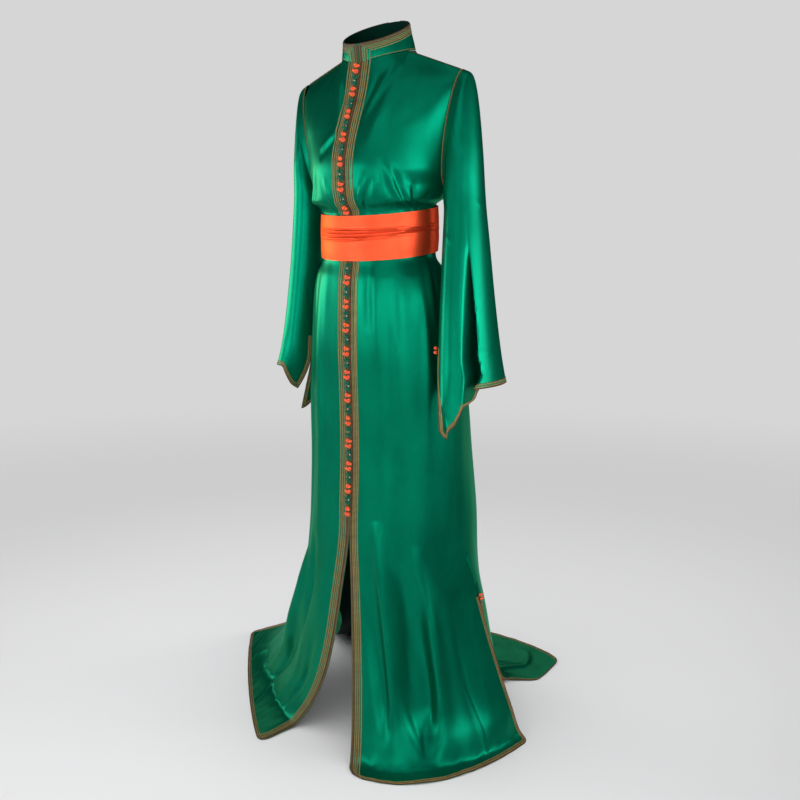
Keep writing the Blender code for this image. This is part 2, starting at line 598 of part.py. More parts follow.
def collar_grid(left, right, back, normals):
    """Grid of the stand collar, from its left front edge round behind the neck to the right."""
    first, last = BACK_NECK_COLUMNS
    neck = FRONT_NECK_COLUMN
    base = np.vstack([left[0, :neck + 1], back[0, first + 1:last], right[0, neck::-1]])
    tilt = np.concatenate([normals["front_left"][0, :neck + 1, 2], normals["back"][0, first + 1:last, 2],
                           normals["front_right"][0, neck::-1, 2]])
    reach = np.full(len(base), CLOTH / 2)
    under_braid = FRONT_BAND_COLUMNS + 1
    reach[:under_braid] = CLOTH / 2 + SEAM_GAP + BRAID
    reach[-under_braid:] = reach[:under_braid]
    base[:, 2] += COLLAR_CLEAR + reach * np.abs(tilt)
    base_middle = (COLLAR_BASE["front_y"] + COLLAR_BASE["back_y"]) / 2
    top_middle = (COLLAR_TOP["front_y"] + COLLAR_TOP["back_y"]) / 2
    base_reach = (COLLAR_BASE["back_y"] - COLLAR_BASE["front_y"]) / 2
    top_reach = (COLLAR_TOP["back_y"] - COLLAR_TOP["front_y"]) / 2
    turn = np.arctan2(base[:, 0] / COLLAR_BASE["half_x"], (base_middle - base[:, 1]) / base_reach)
    top_y = top_middle - top_reach * np.cos(turn)
    top = np.column_stack([COLLAR_TOP["half_x"] * np.sin(turn), top_y,
                           COLLAR_TOP["height"] + COLLAR_TOP["rise"] * (top_y - COLLAR_TOP["front_y"])])
    return base + (top - base) * np.array(COLLAR_SHARES)[:, None, None]


def sash_grid():
    """Grid of the sash: a closed ring that dips a little at the front."""
    turn = np.linspace(0, 2 * math.pi, SASH_SIDES + 1)
    oval = SASH_OVAL
    reach = np.where(np.cos(turn) > 0, oval["middle_y"] - oval["front_y"], oval["back_y"] - oval["middle_y"])
    x = oval["half_x"] * np.sin(turn)
    y = oval["middle_y"] - reach * np.cos(turn)
    low = oval["front_height"] + oval["rise"] * (y - oval["front_y"])
    shares = np.linspace(0, 1, 3)
    bulge = 1 + oval["bulge"] * np.sin(math.pi * shares)
    return np.array([np.column_stack([x * swell, y * swell, low + SASH_HEIGHT * share])
                     for share, swell in zip(shares, bulge)])


def edge_cells(points, rows=(), columns=(), top=0):
    """Choose whole rows of cells, and columns of cells from a top row down."""
    cells = np.zeros((points.shape[0] - 1, points.shape[1] - 1), bool)
    for row in rows:
        cells[row] = True
    for column in columns:
        cells[top:, column] = True
    return cells


def add_knots(grids, normals, colours):
    """Close the fronts with pairs of knots, two orange and then two green, from the neck to the slit."""
    rows = np.s_[:FRONT_SLIT_ROW + 1]
    line = (grids["front_left"][rows, 0] + grids["front_right"][rows, 0]) / 2
    outward = normals["front_left"][rows, 0] + normals["front_right"][rows, 0]
    outward /= np.linalg.norm(outward, axis=1, keepdims=True)
    along = lengths_along(line)
    pair = 2 * KNOT_PITCH + KNOT_PAIR_GAP
    sash_low = SASH_OVAL["front_height"] - pair / 2
    sash_high = SASH_OVAL["front_height"] + SASH_HEIGHT + pair / 2
    seat = CLOTH / 2 + 2 * SEAM_GAP + BRAID + KNOT_WIDTH / 2 + KNOT_CLEAR
    for i in range(int((along[-1] - KNOTS_START) / pair)):
        down = KNOTS_START + pair * (i + 0.5)
        centre, facing = (np.array([np.interp(down, along, values[:, k]) for k in range(3)])
                          for values in (line, outward))
        if sash_low < centre[2] < sash_high:
            continue
        ahead = np.array([np.interp(down + pair / 2, along, line[:, k]) for k in range(3)])
        behind = np.array([np.interp(down - pair / 2, along, line[:, k]) for k in range(3)])
        chord = (ahead + behind) / 2
        standing = max(0.0, float(np.dot(centre - chord, facing)))
        centre = chord + facing * (seat + standing)
        name = "knots_{:02d}_{}".format(i + 1, ("orange", "green")[i % 2])
        add_piece(name, knot_pair_mesh(centre, behind - ahead, facing, 1.0), colours[i % 2])


def add_bead(name, at, along, outward, colour):
    """A small pair of beads at the top of a slit."""
    seat = CLOTH / 2 + 2 * SEAM_GAP + BRAID + KNOT_WIDTH * BEAD_SCALE / 2 + KNOT_CLEAR
    add_piece(name, knot_pair_mesh(at + outward * seat, along, outward, BEAD_SCALE), colour)


def build_kaftan():
    """Make every piece of the garment."""
    satin = material("green_satin", SATIN_GREEN, 0.30)
    coral = material("coral_satin", SASH_CORAL, 0.35)
    braid = material("braid", BRAID_OLIVE, 0.55)
    piping = material("gold_piping", PIPING_GOLD, 0.45)
    knots = (material("orange_knots", KNOT_ORANGE, 0.60), material("green_knots", KNOT_GREEN, 0.60))
    half = CLOTH / 2
    over = half + SEAM_GAP    # underside of what lies on the cloth

    grids = {"front_left": front_panel(1), "front_right": front_panel(-1), "back": back_panel(),
             "sleeve_left": sleeve_grid(1, LEFT_SLEEVE, SLEEVE_SLITS["left"]),
             "sleeve_right": sleeve_grid(-1, RIGHT_SLEEVE, SLEEVE_SLITS["right"])}
    seam_rows = np.s_[UNDERARM_ROW:SIDE_SLIT_ROW + 1]
    share_points(grids["front_left"][seam_rows, -1], grids["back"][seam_rows, 0])
    share_points(grids["front_right"][seam_rows, -1], grids["back"][seam_rows, -1])
    normals = {"front_left": surface_normals(grids["front_left"], -1),
               "front_right": surface_normals(grids["front_right"], 1),
               "back": surface_normals(grids["back"], -1),
               "sleeve_left": sleeve_normals(grids["sleeve_left"], 1),
               "sleeve_right": sleeve_normals(grids["sleeve_right"], -1)}
    neck = FRONT_NECK_COLUMN
    first, last = BACK_NECK_COLUMNS
    share_normals(normals["front_left"][seam_rows, -1], normals["back"][seam_rows, 0])
    share_normals(normals["front_right"][seam_rows, -1], normals["back"][seam_rows, -1])
    share_normals(normals["front_left"][0, neck:], normals["back"][0, first::-1])
    share_normals(normals["front_right"][0, neck:], normals["back"][0, last:])
    shoulder_lines = {name: grids["front_" + name][0, neck:].copy() for name in ("left", "right")}
    collar = collar_grid(grids["front_left"], grids["front_right"], grids["back"], normals)
    for name, edges in (("front_left", ("top", "end")), ("front_right", ("top", "end")),
                        ("back", ("top", "start", "end"))):
        for edge in edges:
            pull_in(grids[name], edge, SEAM_GAP / 2)

    for name in ("front_right", "front_left", "back"):
        add_piece(name, wall_mesh(grids[name], normals[name], -half, half), satin)
        side_columns = (0, -1) if name == "back" else (-1,)
        cells = edge_cells(grids[name], rows=(-1,), columns=side_columns, top=SIDE_SLIT_ROW)
        if name != "back":
            cells[:, :FRONT_BAND_COLUMNS] = True
        add_piece("braid_" + name, wall_mesh(grids[name], normals[name], over, over + BRAID, cells), braid)

    for name in ("sleeve_right", "sleeve_left"):
        points = grids[name]
        ids = np.arange(points[:, :, 0].size).reshape(points.shape[:2])
        ids[:SLEEVE_SLIT_ROW + 1, -1] = ids[:SLEEVE_SLIT_ROW + 1, 0]
        add_piece(name, wall_mesh(points, normals[name], -half, half, ids=ids), satin)
        cells = edge_cells(points, rows=(-1,), columns=(0, -1), top=SLEEVE_SLIT_ROW - 1)
        add_piece("braid_" + name, wall_mesh(points, normals[name], over, over + BRAID, cells, ids), braid)

    collar_normals = surface_normals(collar, 1)
    add_piece("collar", wall_mesh(collar, collar_normals, -half, half), satin)
    cells = edge_cells(collar, rows=(2, 3), columns=(0, 1, -2, -1))
    add_piece("braid_collar", wall_mesh(collar, collar_normals, over, over + BRAID, cells), braid)

    sash = sash_grid()
    ids = np.arange(sash[:, :, 0].size).reshape(sash.shape[:2])
    ids[:, -1] = ids[:, 0]
    sash_normals = surface_normals(np.concatenate([sash[:, -2:-1], sash, sash[:, 1:2]], axis=1), 1)[:, 1:-1]
    add_piece("sash", wall_mesh(sash, sash_normals, -SASH_CLOTH / 2, SASH_CLOTH / 2, ids=ids), coral)

    between_bands = np.s_[FRONT_BAND_COLUMNS + 1:-FRONT_BAND_COLUMNS - 1]
    base_line = collar[0, between_bands] + np.array([0.0, 0.0, PIPING_RISE])
    add_piece("piping_collar", cord_mesh(base_line, collar_normals[0, between_bands], over, PIPING), piping)
    for name in ("left", "right"):
        ring_name = "sleeve_" + name
        line = shoulder_lines[name]
        seam_normals = normals["front_" + name][0, neck:]
        line[0] += (line[1] - line[0]) * SHOULDER_PIPING_ENDS["neck"]
        line[-1] += (line[-2] - line[-1]) * SHOULDER_PIPING_ENDS["armhole"]
        add_piece("piping_shoulder_" + name, cord_mesh(line, seam_normals, over, PIPING), piping)
        ring = grids[ring_name][0, :-1].copy()
        into_sleeve = grids[ring_name][1, :-1] - ring
        ring += into_sleeve / np.linalg.norm(into_sleeve, axis=1, keepdims=True) * PIPING_SETBACK
        facing = normals[ring_name][0, :-1]
        add_piece("piping_armhole_" + name, cord_mesh(ring, facing, over, PIPING, closed=True), piping)

    add_knots(grids, normals, knots)
    for name in ("left", "right"):
        slit_top = grids["front_" + name][SIDE_SLIT_ROW, -1]
        below = grids["front_" + name][SIDE_SLIT_ROW + 1, -1]
        outward = normals["front_" + name][SIDE_SLIT_ROW, -1]
        add_bead("bead_side_slit_" + name, slit_top, below - slit_top, outward, knots[0])
        sleeve = grids["sleeve_" + name]
        slit_top = sleeve[SLEEVE_SLIT_ROW - 1, 0]
        below = sleeve[SLEEVE_SLIT_ROW, 0]
        outward = normals["sleeve_" + name][SLEEVE_SLIT_ROW - 1, 0]
        add_bead("bead_sleeve_slit_" + name, slit_top, below - slit_top, outward, knots[0])


def remove_everything():
    """Start from an empty scene."""
    for thing in list(bpy.data.objects):
        bpy.data.objects.remove(thing)


remove_everything()
build_kaftan()
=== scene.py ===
import math

import bpy
import numpy as np
from mathutils import Matrix, Vector


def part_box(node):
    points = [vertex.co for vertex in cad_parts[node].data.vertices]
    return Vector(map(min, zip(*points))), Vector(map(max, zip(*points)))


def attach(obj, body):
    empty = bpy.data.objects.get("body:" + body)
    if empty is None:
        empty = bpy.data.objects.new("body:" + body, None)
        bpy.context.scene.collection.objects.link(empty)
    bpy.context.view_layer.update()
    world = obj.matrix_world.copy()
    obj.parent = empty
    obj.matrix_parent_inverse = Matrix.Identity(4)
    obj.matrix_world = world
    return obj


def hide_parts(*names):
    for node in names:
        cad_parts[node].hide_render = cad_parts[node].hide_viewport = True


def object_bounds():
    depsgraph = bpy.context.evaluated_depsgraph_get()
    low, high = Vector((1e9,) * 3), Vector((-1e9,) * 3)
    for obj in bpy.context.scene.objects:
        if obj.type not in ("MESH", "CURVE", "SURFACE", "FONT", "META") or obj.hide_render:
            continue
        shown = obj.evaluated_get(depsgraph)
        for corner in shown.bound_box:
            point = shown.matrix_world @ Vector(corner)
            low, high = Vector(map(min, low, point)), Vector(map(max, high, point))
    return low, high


# Looks of a Moroccan kaftan: green satin, rows of braid, silk knots and a coral sash.
# Metres, in the frame of the solids: +Z up, the wearer faces -Y and +X is the wearer's left.
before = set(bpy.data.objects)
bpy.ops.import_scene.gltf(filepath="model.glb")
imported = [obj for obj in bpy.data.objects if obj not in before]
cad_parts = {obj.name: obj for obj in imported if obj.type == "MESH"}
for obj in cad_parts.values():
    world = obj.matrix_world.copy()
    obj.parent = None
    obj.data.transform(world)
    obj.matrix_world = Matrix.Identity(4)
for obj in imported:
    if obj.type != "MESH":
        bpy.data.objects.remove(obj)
solid_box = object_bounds()

# ---- Studio ---------------------------------------------------------------------------------------
# A pale floor that fades into a plain grey surround, long low soft boxes all round with one above, and
# a camera a little above the height of the sash, turned towards the wearer's left.
EYE = (1.417, -1.875, -0.375)
EYE_TURN = math.radians(36.0)
EYE_TILT = math.radians(8.2)
EYE_LENS = 50.0
FLOOR_REACH = 14.0
FLOOR_FADE = (1.6, 5.5)      # distances over which the floor fades into the surround
FLOOR_SHINE = (2.5, 12.0)    # distances over which its reflection in the satin dies away
FLOOR_RINGS, FLOOR_SPOKES = 48, 96
SURROUND_GREY = (0.672, 0.672, 0.676, 1.0)
FLOOR_PAINT = (0.77, 0.77, 0.775, 1.0)

scene = bpy.context.scene
scene.view_settings.view_transform = "Standard"

camera_data = bpy.data.cameras.new("camera")
camera_data.lens = EYE_LENS
camera_data.sensor_width = 36.0


def node(tree, kind, **inputs):
    """Add a shader node, and set its inputs and properties by name."""
    made = tree.nodes.new("ShaderNode" + kind)
    for name, value in inputs.items():
        title = name.replace("_", " ")
        if title in made.inputs:
            made.inputs[title].default_value = value
        else:
            setattr(made, name, value)
    return made


def wire(tree, *wires):
    """Link shader nodes, each wire as (node, its output, other node, its input)."""
    for source, output, target, entry in wires:
        tree.links.new(source.outputs[output], target.inputs[entry])


def new_material(name):
    """A new material, with its node tree and its shader."""
    made = bpy.data.materials.new(name)
    made.use_nodes = True
    return made, made.node_tree, made.node_tree.nodes["Principled BSDF"]


def new_mesh(name, verts, faces, surfaces, face_surfaces=None, corner_places=None):
    """A mesh with its materials. corner_places holds a UV for each corner of each face."""
    mesh = bpy.data.meshes.new(name)
    mesh.from_pydata(verts, [], faces)
    for surface in surfaces:
        mesh.materials.append(surface)
    if face_surfaces is not None:
        mesh.polygons.foreach_set("material_index", np.asarray(face_surfaces, np.int32))
    if corner_places is not None:
        layer = mesh.uv_layers.new(name="UVMap")
        layer.data.foreach_set("uv", np.asarray(corner_places, np.float32).ravel())
    return mesh


def new_object(name, data):
    """A new object in the scene."""
    made = bpy.data.objects.new(name, data)
    scene.collection.objects.link(made)
    return made


def floor_paint():
    """Matt pale paint that gives way to the surround's own grey, which dims in far reflections."""
    paint, tree, _ = new_material("floor_paint")
    tree.nodes.clear()
    place = node(tree, "TexCoord")
    away = node(tree, "VectorMath", operation="LENGTH")
    fade = node(tree, "MapRange", interpolation_type="SMOOTHSTEP", From_Min=FLOOR_FADE[0],
                From_Max=FLOOR_FADE[1])
    lit = node(tree, "BsdfPrincipled", Base_Color=FLOOR_PAINT, Roughness=0.85, Specular_IOR_Level=0.1)
    plain = node(tree, "Emission", Color=SURROUND_GREY)
    path = node(tree, "LightPath")
    far_off = node(tree, "MapRange", interpolation_type="SMOOTHSTEP", From_Min=FLOOR_SHINE[0],
                   From_Max=FLOOR_SHINE[1])
    lost = node(tree, "Math", operation="MULTIPLY")
    kept = node(tree, "Math", operation="SUBTRACT")
    kept.inputs[0].default_value = 1.0
    both = node(tree, "MixShader")
    out = node(tree, "OutputMaterial")
    wire(tree, (away, "Value", far_off, "Value"), (far_off, "Result", lost, 0),
         (path, "Is Glossy Ray", lost, 1), (lost, "Value", kept, 1), (kept, "Value", plain, "Strength"),
         (place, "Object", away, 0), (away, "Value", fade, "Value"), (fade, "Result", both, "Fac"),
         (lit, "BSDF", both, 1), (plain, "Emission", both, 2), (both, "Shader", out, "Surface"))
    return paint


def studio_floor():
    """A wide disc that turns from lit floor to the surround's own grey further out."""
    low = solid_box[0].z
    turns = [2 * math.pi * k / FLOOR_SPOKES for k in range(FLOOR_SPOKES)]
    verts = [(0.0, 0.0, low)]
    for i in range(1, FLOOR_RINGS + 1):
        reach = FLOOR_REACH * (i / FLOOR_RINGS) ** 2
        verts += [(reach * math.cos(turn), reach * math.sin(turn), low) for turn in turns]
    faces = [(0, 1 + k, 1 + (k + 1) % FLOOR_SPOKES) for k in range(FLOOR_SPOKES)]
    for i in range(FLOOR_RINGS - 1):
        near, far = 1 + i * FLOOR_SPOKES, 1 + (i + 1) * FLOOR_SPOKES
        faces += [(near + k, far + k, far + after, near + after)
                  for k, after in enumerate([*range(1, FLOOR_SPOKES), 0])]
    new_object("studio_floor", new_mesh("studio_floor", verts, faces, [floor_paint()]))


def soft_box(name, place, aim, size, power, spread=180):
    """A rectangular area light, turned to face a point."""
    data = bpy.data.lights.new(name, "AREA")
    data.shape = "RECTANGLE"
    data.size, data.size_y = size
    data.energy = power
    light = new_object(name, data)
    light.location = place
    light.rotation_euler = (Vector(aim) - Vector(place)).to_track_quat("-Z", "Y").to_euler()
    light.visible_camera = False
    light.data.spread = math.radians(spread)


def card_paint():
    """Matt black with a faint grain."""
    made, tree, shader = new_material("card_black")
    grain = node(tree, "TexNoise", Scale=60.0)
    tone = node(tree, "MapRange", To_Min=0.008, To_Max=0.014)
    wire(tree, (grain, "Fac", tone, "Value"), (tone, "Result", shader, "Base Color"))
    shader.inputs["Roughness"].default_value = 0.9
    shader.inputs["Specular IOR Level"].default_value = 0.1
    return made


camera = new_object("camera", camera_data)
camera.location = EYE
looking = Vector((-math.sin(EYE_TURN) * math.cos(EYE_TILT), math.cos(EYE_TURN) * math.cos(EYE_TILT),
                  -math.sin(EYE_TILT)))
camera.rotation_euler = looking.to_track_quat("-Z", "Y").to_euler()
scene.camera = camera
studio_floor()
surround = bpy.data.worlds.new("surround")
scene.world = surround
surround.use_nodes = True
surround.node_tree.nodes["Background"].inputs["Color"].default_value = SURROUND_GREY
surround.node_tree.nodes["Background"].inputs["Strength"].default_value = 1.0
surround.cycles_visibility.glossy = False
# Each box as its name, place, point that it faces, width and height, watts, and spread in degrees.
soft_box("box_left", (-3.05, -0.54, -0.25), (0.0, 0.0, -0.35), (3.2, 0.8), 10.0, 76)
soft_box("box_front", (-1.31, -2.81, -0.36), (0.0, 0.0, -0.45), (2.5, 0.7), 6.2, 76)
soft_box("box_beside", (1.31, -2.81, -0.36), (0.0, 0.0, -0.45), (2.5, 0.7), 5.1, 76)
soft_box("box_right", (2.87, -1.16, -0.20), (0.0, 0.0, -0.30), (2.2, 0.7), 5.8, 76)
soft_box("box_far", (2.87, 1.16, -0.20), (0.0, 0.0, -0.28), (2.7, 0.7), 11.0, 76)
soft_box("box_middle", (0.85, -2.78, 1.15), (0.0, 0.0, -0.60), (3.4, 1.0), 3.6, 90)
soft_box("box_behind", (-2.3, 3.0, 0.10), (0.0, 0.2, -1.20), (2.6, 0.9), 1.0, 60)
soft_box("box_above", (0.3, -1.4, 2.6), (0.0, 0.0, -0.9), (3.0, 3.0), 17)

CARD_X = 1.5
CARD_HEIGHTS = (-1.45, -1.00)
CARD_DEPTHS = (0.15, 2.8)
CLOTH_X = 0.45               # the black cloth's edge nearest to the hem
CLOTH_FRONT = -0.75
CLOTH_LEVEL = -1.448         # just above the floor


def black_sheet(name, verts, faces, surface):
    """A black sheet that the camera doesn't see."""
    made = new_object(name, new_mesh(name, verts, faces, [surface]))
    made.visible_camera = False
    return made


# A black card at the wearer's left keeps the floor's glow off that side of the skirt. Black cloth on the
# floor there, and hung in front of the card, takes only the floor's shine off the satin.
card_black = card_paint()
foot, head = CARD_HEIGHTS
near, far = CARD_DEPTHS
card = [(CARD_X, near, foot), (CARD_X, far, foot), (CARD_X, far, head), (CARD_X, near, head)]
black_sheet("black_card", card, [(0, 1, 2, 3)], card_black)
on_floor = [(CLOTH_X, CLOTH_FRONT, CLOTH_LEVEL), (CARD_X, CLOTH_FRONT, CLOTH_LEVEL),
            (CARD_X, far, CLOTH_LEVEL), (CLOTH_X, far, CLOTH_LEVEL)]
hung = [(CARD_X, CLOTH_FRONT, head), (CARD_X, near, head), (CARD_X, near, CLOTH_LEVEL)]
black_cloth = black_sheet("black_cloth", on_floor + hung, [(0, 1, 2, 3), (1, 6, 5, 4)], card_black)
black_cloth.visible_diffuse = False
black_cloth.visible_shadow = False

# ---- Fronts ---------------------------------------------------------------------------------------
# Each front is one piece of polyester satin from the shoulder to the hem, cut wide below so that it
# spreads on the floor, with rows of gimp braid sewn along the centre, the hem and the side slit.
SHOULDER_HEIGHT = 1.455      # heights below are measured from the floor, which is this far down
CLOTH = 0.0012               # satin with its turned edges
FRONT_GAP = 0.0008
UNDERARM_DOWN = 0.262
SIDE_SLIT_DOWN = 1.130
DENSE = 241
ARC_SAMPLES = 481
UPPER_ROWS = 214
LOWER_ROWS = 92
FRONT_COLUMNS = 104
NECK_SHARE = 0.46
NECK_FULLNESS = 2.1
FLOOR_BEND = 0.006
FLOOR_SETTLE = 0.020
FOLD_SKEW = 0.75
FOLD_FADE = 1.2
ARMHOLE = {"x": 0.176, "y": 0.012, "height": 1.298, "half_x": 0.019, "half_height": 0.113, "half_y": 0.032}
SIDE_NECK = {"x": 0.077, "y": 0.000, "height": 1.455}
FRONT_NECK = {"y": -0.064, "height": 1.430}
BACK_NECK = {"y": 0.070, "height": 1.473}
BODY_COLUMNS = ("down front_y front_height side_x side_y side_height "
                "back_y back_height fullness turn right_share")
BODY_SECTIONS = (
    (0.070, -0.078, 1.368, None, None, 1.373, 0.100, 1.395, 2.1, 55, 1.00),
    (0.150, -0.105, 1.295, None, None, 1.295, 0.106, 1.310, 2.2, 57, 1.00),
    (0.225, -0.120, 1.225, None, None, 1.217, 0.103, 1.240, 2.3, 62, 1.00),
    (0.262, -0.119, 1.188, 0.1570, 0.012, 1.185, 0.098, 1.203, 2.3, 74, 1.00),
    (0.300, -0.112, 1.155, 0.1450, 0.010, 1.163, 0.091, 1.176, 2.2, 90, 1.05),
    (0.325, -0.0975, 1.133, 0.1285, 0.006, 1.147, 0.0880, 1.162, 2.0, 90, 1.00),
    (0.372, -0.0940, 1.083, 0.1262, 0.006, 1.097, 0.0862, 1.112, 2.0, 90, 1.00),
    (0.418, -0.0962, 1.034, 0.1285, 0.006, 1.047, 0.0885, 1.060, 2.0, 90, 1.00),
    (0.455, -0.1005, 1.000, 0.1460, 0.006, 1.010, 0.1120, 1.020, 2.1, 90, 1.00),
    (0.500, -0.1030, 0.956, 0.1560, 0.006, 0.962, 0.1400, 0.966, 2.1, 90, 1.00),
    (0.590, -0.1040, 0.866, 0.1660, 0.008, 0.868, 0.1740, 0.870, 2.1, 90, 1.00),
    (0.700, -0.1000, 0.756, 0.1740, 0.012, 0.758, 0.2030, 0.758, 2.1, 90, 1.00),
    (0.810, -0.0980, 0.646, 0.1760, 0.016, 0.648, 0.2240, 0.646, 2.1, 90, 1.00),
    (0.955, -0.1030, 0.502, 0.1840, 0.024, 0.502, 0.2420, 0.500, 2.1, 90, 1.00),
)
SPREAD_COLUMNS = "down inner_x inner_y inner_height outer_x outer_y outer_height fullness"
FRONT_SPREADS = {
    "left": (
        (1.130, 0.012, -0.115, 0.325, 0.2040, 0.080, 0.325, 2.00),
        (1.290, 0.032, -0.139, 0.162, 0.2360, 0.110, 0.172, 2.00),
        (1.395, 0.046, -0.160, 0.056, 0.2620, 0.130, 0.072, 2.15),
        (1.455, 0.057, -0.180, 0.006, 0.2790, 0.139, 0.018, 2.35),
        (1.490, 0.080, -0.211, 0.000, 0.2980, 0.147, 0.000, 2.50),
    ),
    "right": (
        (1.130, -0.028, -0.100, 0.325, -0.2220, 0.055, 0.325, 2.00),
        (1.290, -0.066, -0.096, 0.168, -0.3350, 0.155, 0.180, 1.65),
        (1.400, -0.118, -0.090, 0.062, -0.4780, 0.238, 0.084, 1.30),
        (1.470, -0.158, -0.112, 0.005, -0.5850, 0.276, 0.034, 1.15),
        (1.580, -0.168, -0.212, 0.000, -0.6640, 0.291, 0.000, 1.08),
    ),
}
# Large folds, as in the solids: height stands out (+) or in (-).
FOLD_COLUMNS = "start end across_top across_end width height"
FRONT_FOLDS = {
    "left": (
        (0.44, 0.85, 0.800, 0.740, 0.055, -0.006),
        (0.44, 1.05, 0.420, 0.400, 0.070, 0.004),
        (0.95, 1.46, 0.270, 0.235, 0.055, -0.016),
        (1.00, 1.46, 0.560, 0.500, 0.060, -0.020),
        (1.05, 1.47, 0.400, 0.365, 0.060, 0.014),
        (1.10, 1.47, 0.760, 0.720, 0.060, 0.010),
    ),
    "right": (
        (0.44, 1.15, 0.420, 0.400, 0.060, -0.006),
        (0.44, 1.20, 0.640, 0.600, 0.070, 0.006),
        (1.00, 1.47, 0.460, 0.420, 0.060, 0.016),
        (1.05, 1.50, 0.640, 0.560, 0.050, -0.022),
    ),
}
# Creases of the satin: a line on the panel, as distance down and share across at both of its ends,
# with a width and a height.
CREASE_COLUMNS = "down_1 across_1 down_2 across_2 width height"
FRONT_CREASES = {
    "left": (
        (0.010, 0.360, 0.135, 0.125, 0.009, 0.0050),
        (0.030, 0.240, 0.160, 0.085, 0.007, -0.0040),
        (0.040, 0.440, 0.190, 0.240, 0.014, 0.0030),
        (0.250, 0.200, 0.331, 0.150, 0.0035, 0.0018),
        (0.250, 0.265, 0.331, 0.205, 0.0035, -0.0018),
        (0.225, 0.480, 0.336, 0.705, 0.0035, 0.0020),
        (0.230, 0.560, 0.336, 0.742, 0.0035, -0.0020),
        (0.240, 0.640, 0.336, 0.775, 0.0035, 0.0020),
        (0.235, 0.235, 0.330, 0.175, 0.006, 0.0026),
        (0.245, 0.300, 0.330, 0.235, 0.007, -0.0020),
        (0.245, 0.345, 0.330, 0.285, 0.006, 0.0018),
        (0.210, 0.440, 0.336, 0.690, 0.006, 0.0034),
        (0.220, 0.520, 0.336, 0.725, 0.005, -0.0032),
        (0.235, 0.600, 0.336, 0.760, 0.005, 0.0034),
        (0.250, 0.680, 0.336, 0.790, 0.005, -0.0032),
        (0.205, 0.390, 0.336, 0.640, 0.007, -0.0026),
        (0.255, 0.420, 0.330, 0.520, 0.006, -0.0014),
        (0.275, 0.860, 0.331, 0.830, 0.006, -0.0024),
        (0.420, 0.975, 0.520, 0.930, 0.006, -0.0022),
        (0.420, 0.920, 0.560, 0.880, 0.008, 0.0035),
        (0.420, 0.850, 0.620, 0.830, 0.009, -0.0020),
        (0.420, 0.330, 0.640, 0.300, 0.012, 0.0025),
        (0.420, 0.240, 0.560, 0.220, 0.008, -0.0020),
        (0.425, 0.520, 0.600, 0.500, 0.010, -0.0018),
        (0.560, 0.990, 1.020, 0.990, 0.045, -0.0060),
        (1.290, 0.700, 1.470, 0.690, 0.005, 0.0022),
        (1.425, 0.100, 1.425, 0.990, 0.046, 0.0070),
    ),
    "right": (
        (0.015, 0.240, 0.130, 0.115, 0.007, 0.0045),
        (0.035, 0.165, 0.165, 0.070, 0.006, -0.0035),
        (0.205, 0.340, 0.155, 0.060, 0.008, -0.0030),
        (0.188, 0.340, 0.140, 0.100, 0.007, 0.0030),
        (0.240, 0.250, 0.330, 0.180, 0.006, 0.0024),
        (0.245, 0.310, 0.330, 0.240, 0.007, -0.0020),
        (0.230, 0.500, 0.331, 0.690, 0.006, 0.0022),
        (0.245, 0.600, 0.331, 0.740, 0.005, -0.0020),
        (0.220, 0.430, 0.331, 0.620, 0.007, -0.0016),
        (0.420, 0.950, 0.540, 0.910, 0.007, -0.0035),
        (0.420, 0.870, 0.600, 0.840, 0.009, 0.0030),
        (0.420, 0.350, 0.620, 0.320, 0.012, 0.0022),
        (0.420, 0.560, 0.600, 0.540, 0.010, -0.0020),
        (1.280, 0.300, 1.520, 0.220, 0.010, 0.0035),
        (1.330, 0.180, 1.500, 0.130, 0.008, -0.0030),
        (1.420, 0.420, 1.570, 0.300, 0.010, 0.0035),
        (1.440, 0.620, 1.570, 0.500, 0.011, -0.0030),
        (1.450, 0.760, 1.575, 0.690, 0.009, 0.0030),
    ),
}
# Dips, as the creases, but deepest near their lower ends, where the falling cloth kicks out on the floor.
FRONT_DIPS = {
    "left": (
        (1.020, 0.150, 1.412, 0.200, 0.023, -0.0120),
        (0.980, 0.620, 1.440, 0.408, 0.030, -0.0210),
        (1.230, 0.290, 1.436, 0.400, 0.020, -0.0090),
    ),
    "right": (
        (1.150, 0.200, 1.440, 0.160, 0.017, -0.0080),
        (1.100, 0.560, 1.500, 0.420, 0.020, -0.0090),
    ),
}
DIP_ENDING = 0.24            # a dip is deepest this share of its length before its lower end
# Unevenness of the satin, as (length across, length down, height): long waves of the skirt, short ones
# everywhere, and small ones where the cloth lies on the floor.
SKIRT_SWELL = (0.12, 0.90, 0.0007)
SHORT_SWELL = (0.22, 0.25, 0.0004)
LYING_SWELL = (0.06, 0.14, 0.0007)
SKIRT_START = 0.44           # distance down at which the skirt comes free of the sash
SKIRT_FREE = 0.30            # and over which its waves grow
LYING_LIFT = 0.0006
LYING_HEIGHT = 0.03
EDGE_FADE = 0.03             # creases fade over this distance from a sewn edge
EDGE_LEFT = 0.3              # to this share of their depth
FRONT_CORNERS = (0.034, 0.024)   # how far the hem corners are rounded, at the centre and at the side


def table(columns, rows):
    """Return a table as a dictionary of one array for each named column."""
    names = columns.split()
    return {name: np.array([math.nan if row[i] is None else row[i] for row in rows])
            for i, name in enumerate(names)}


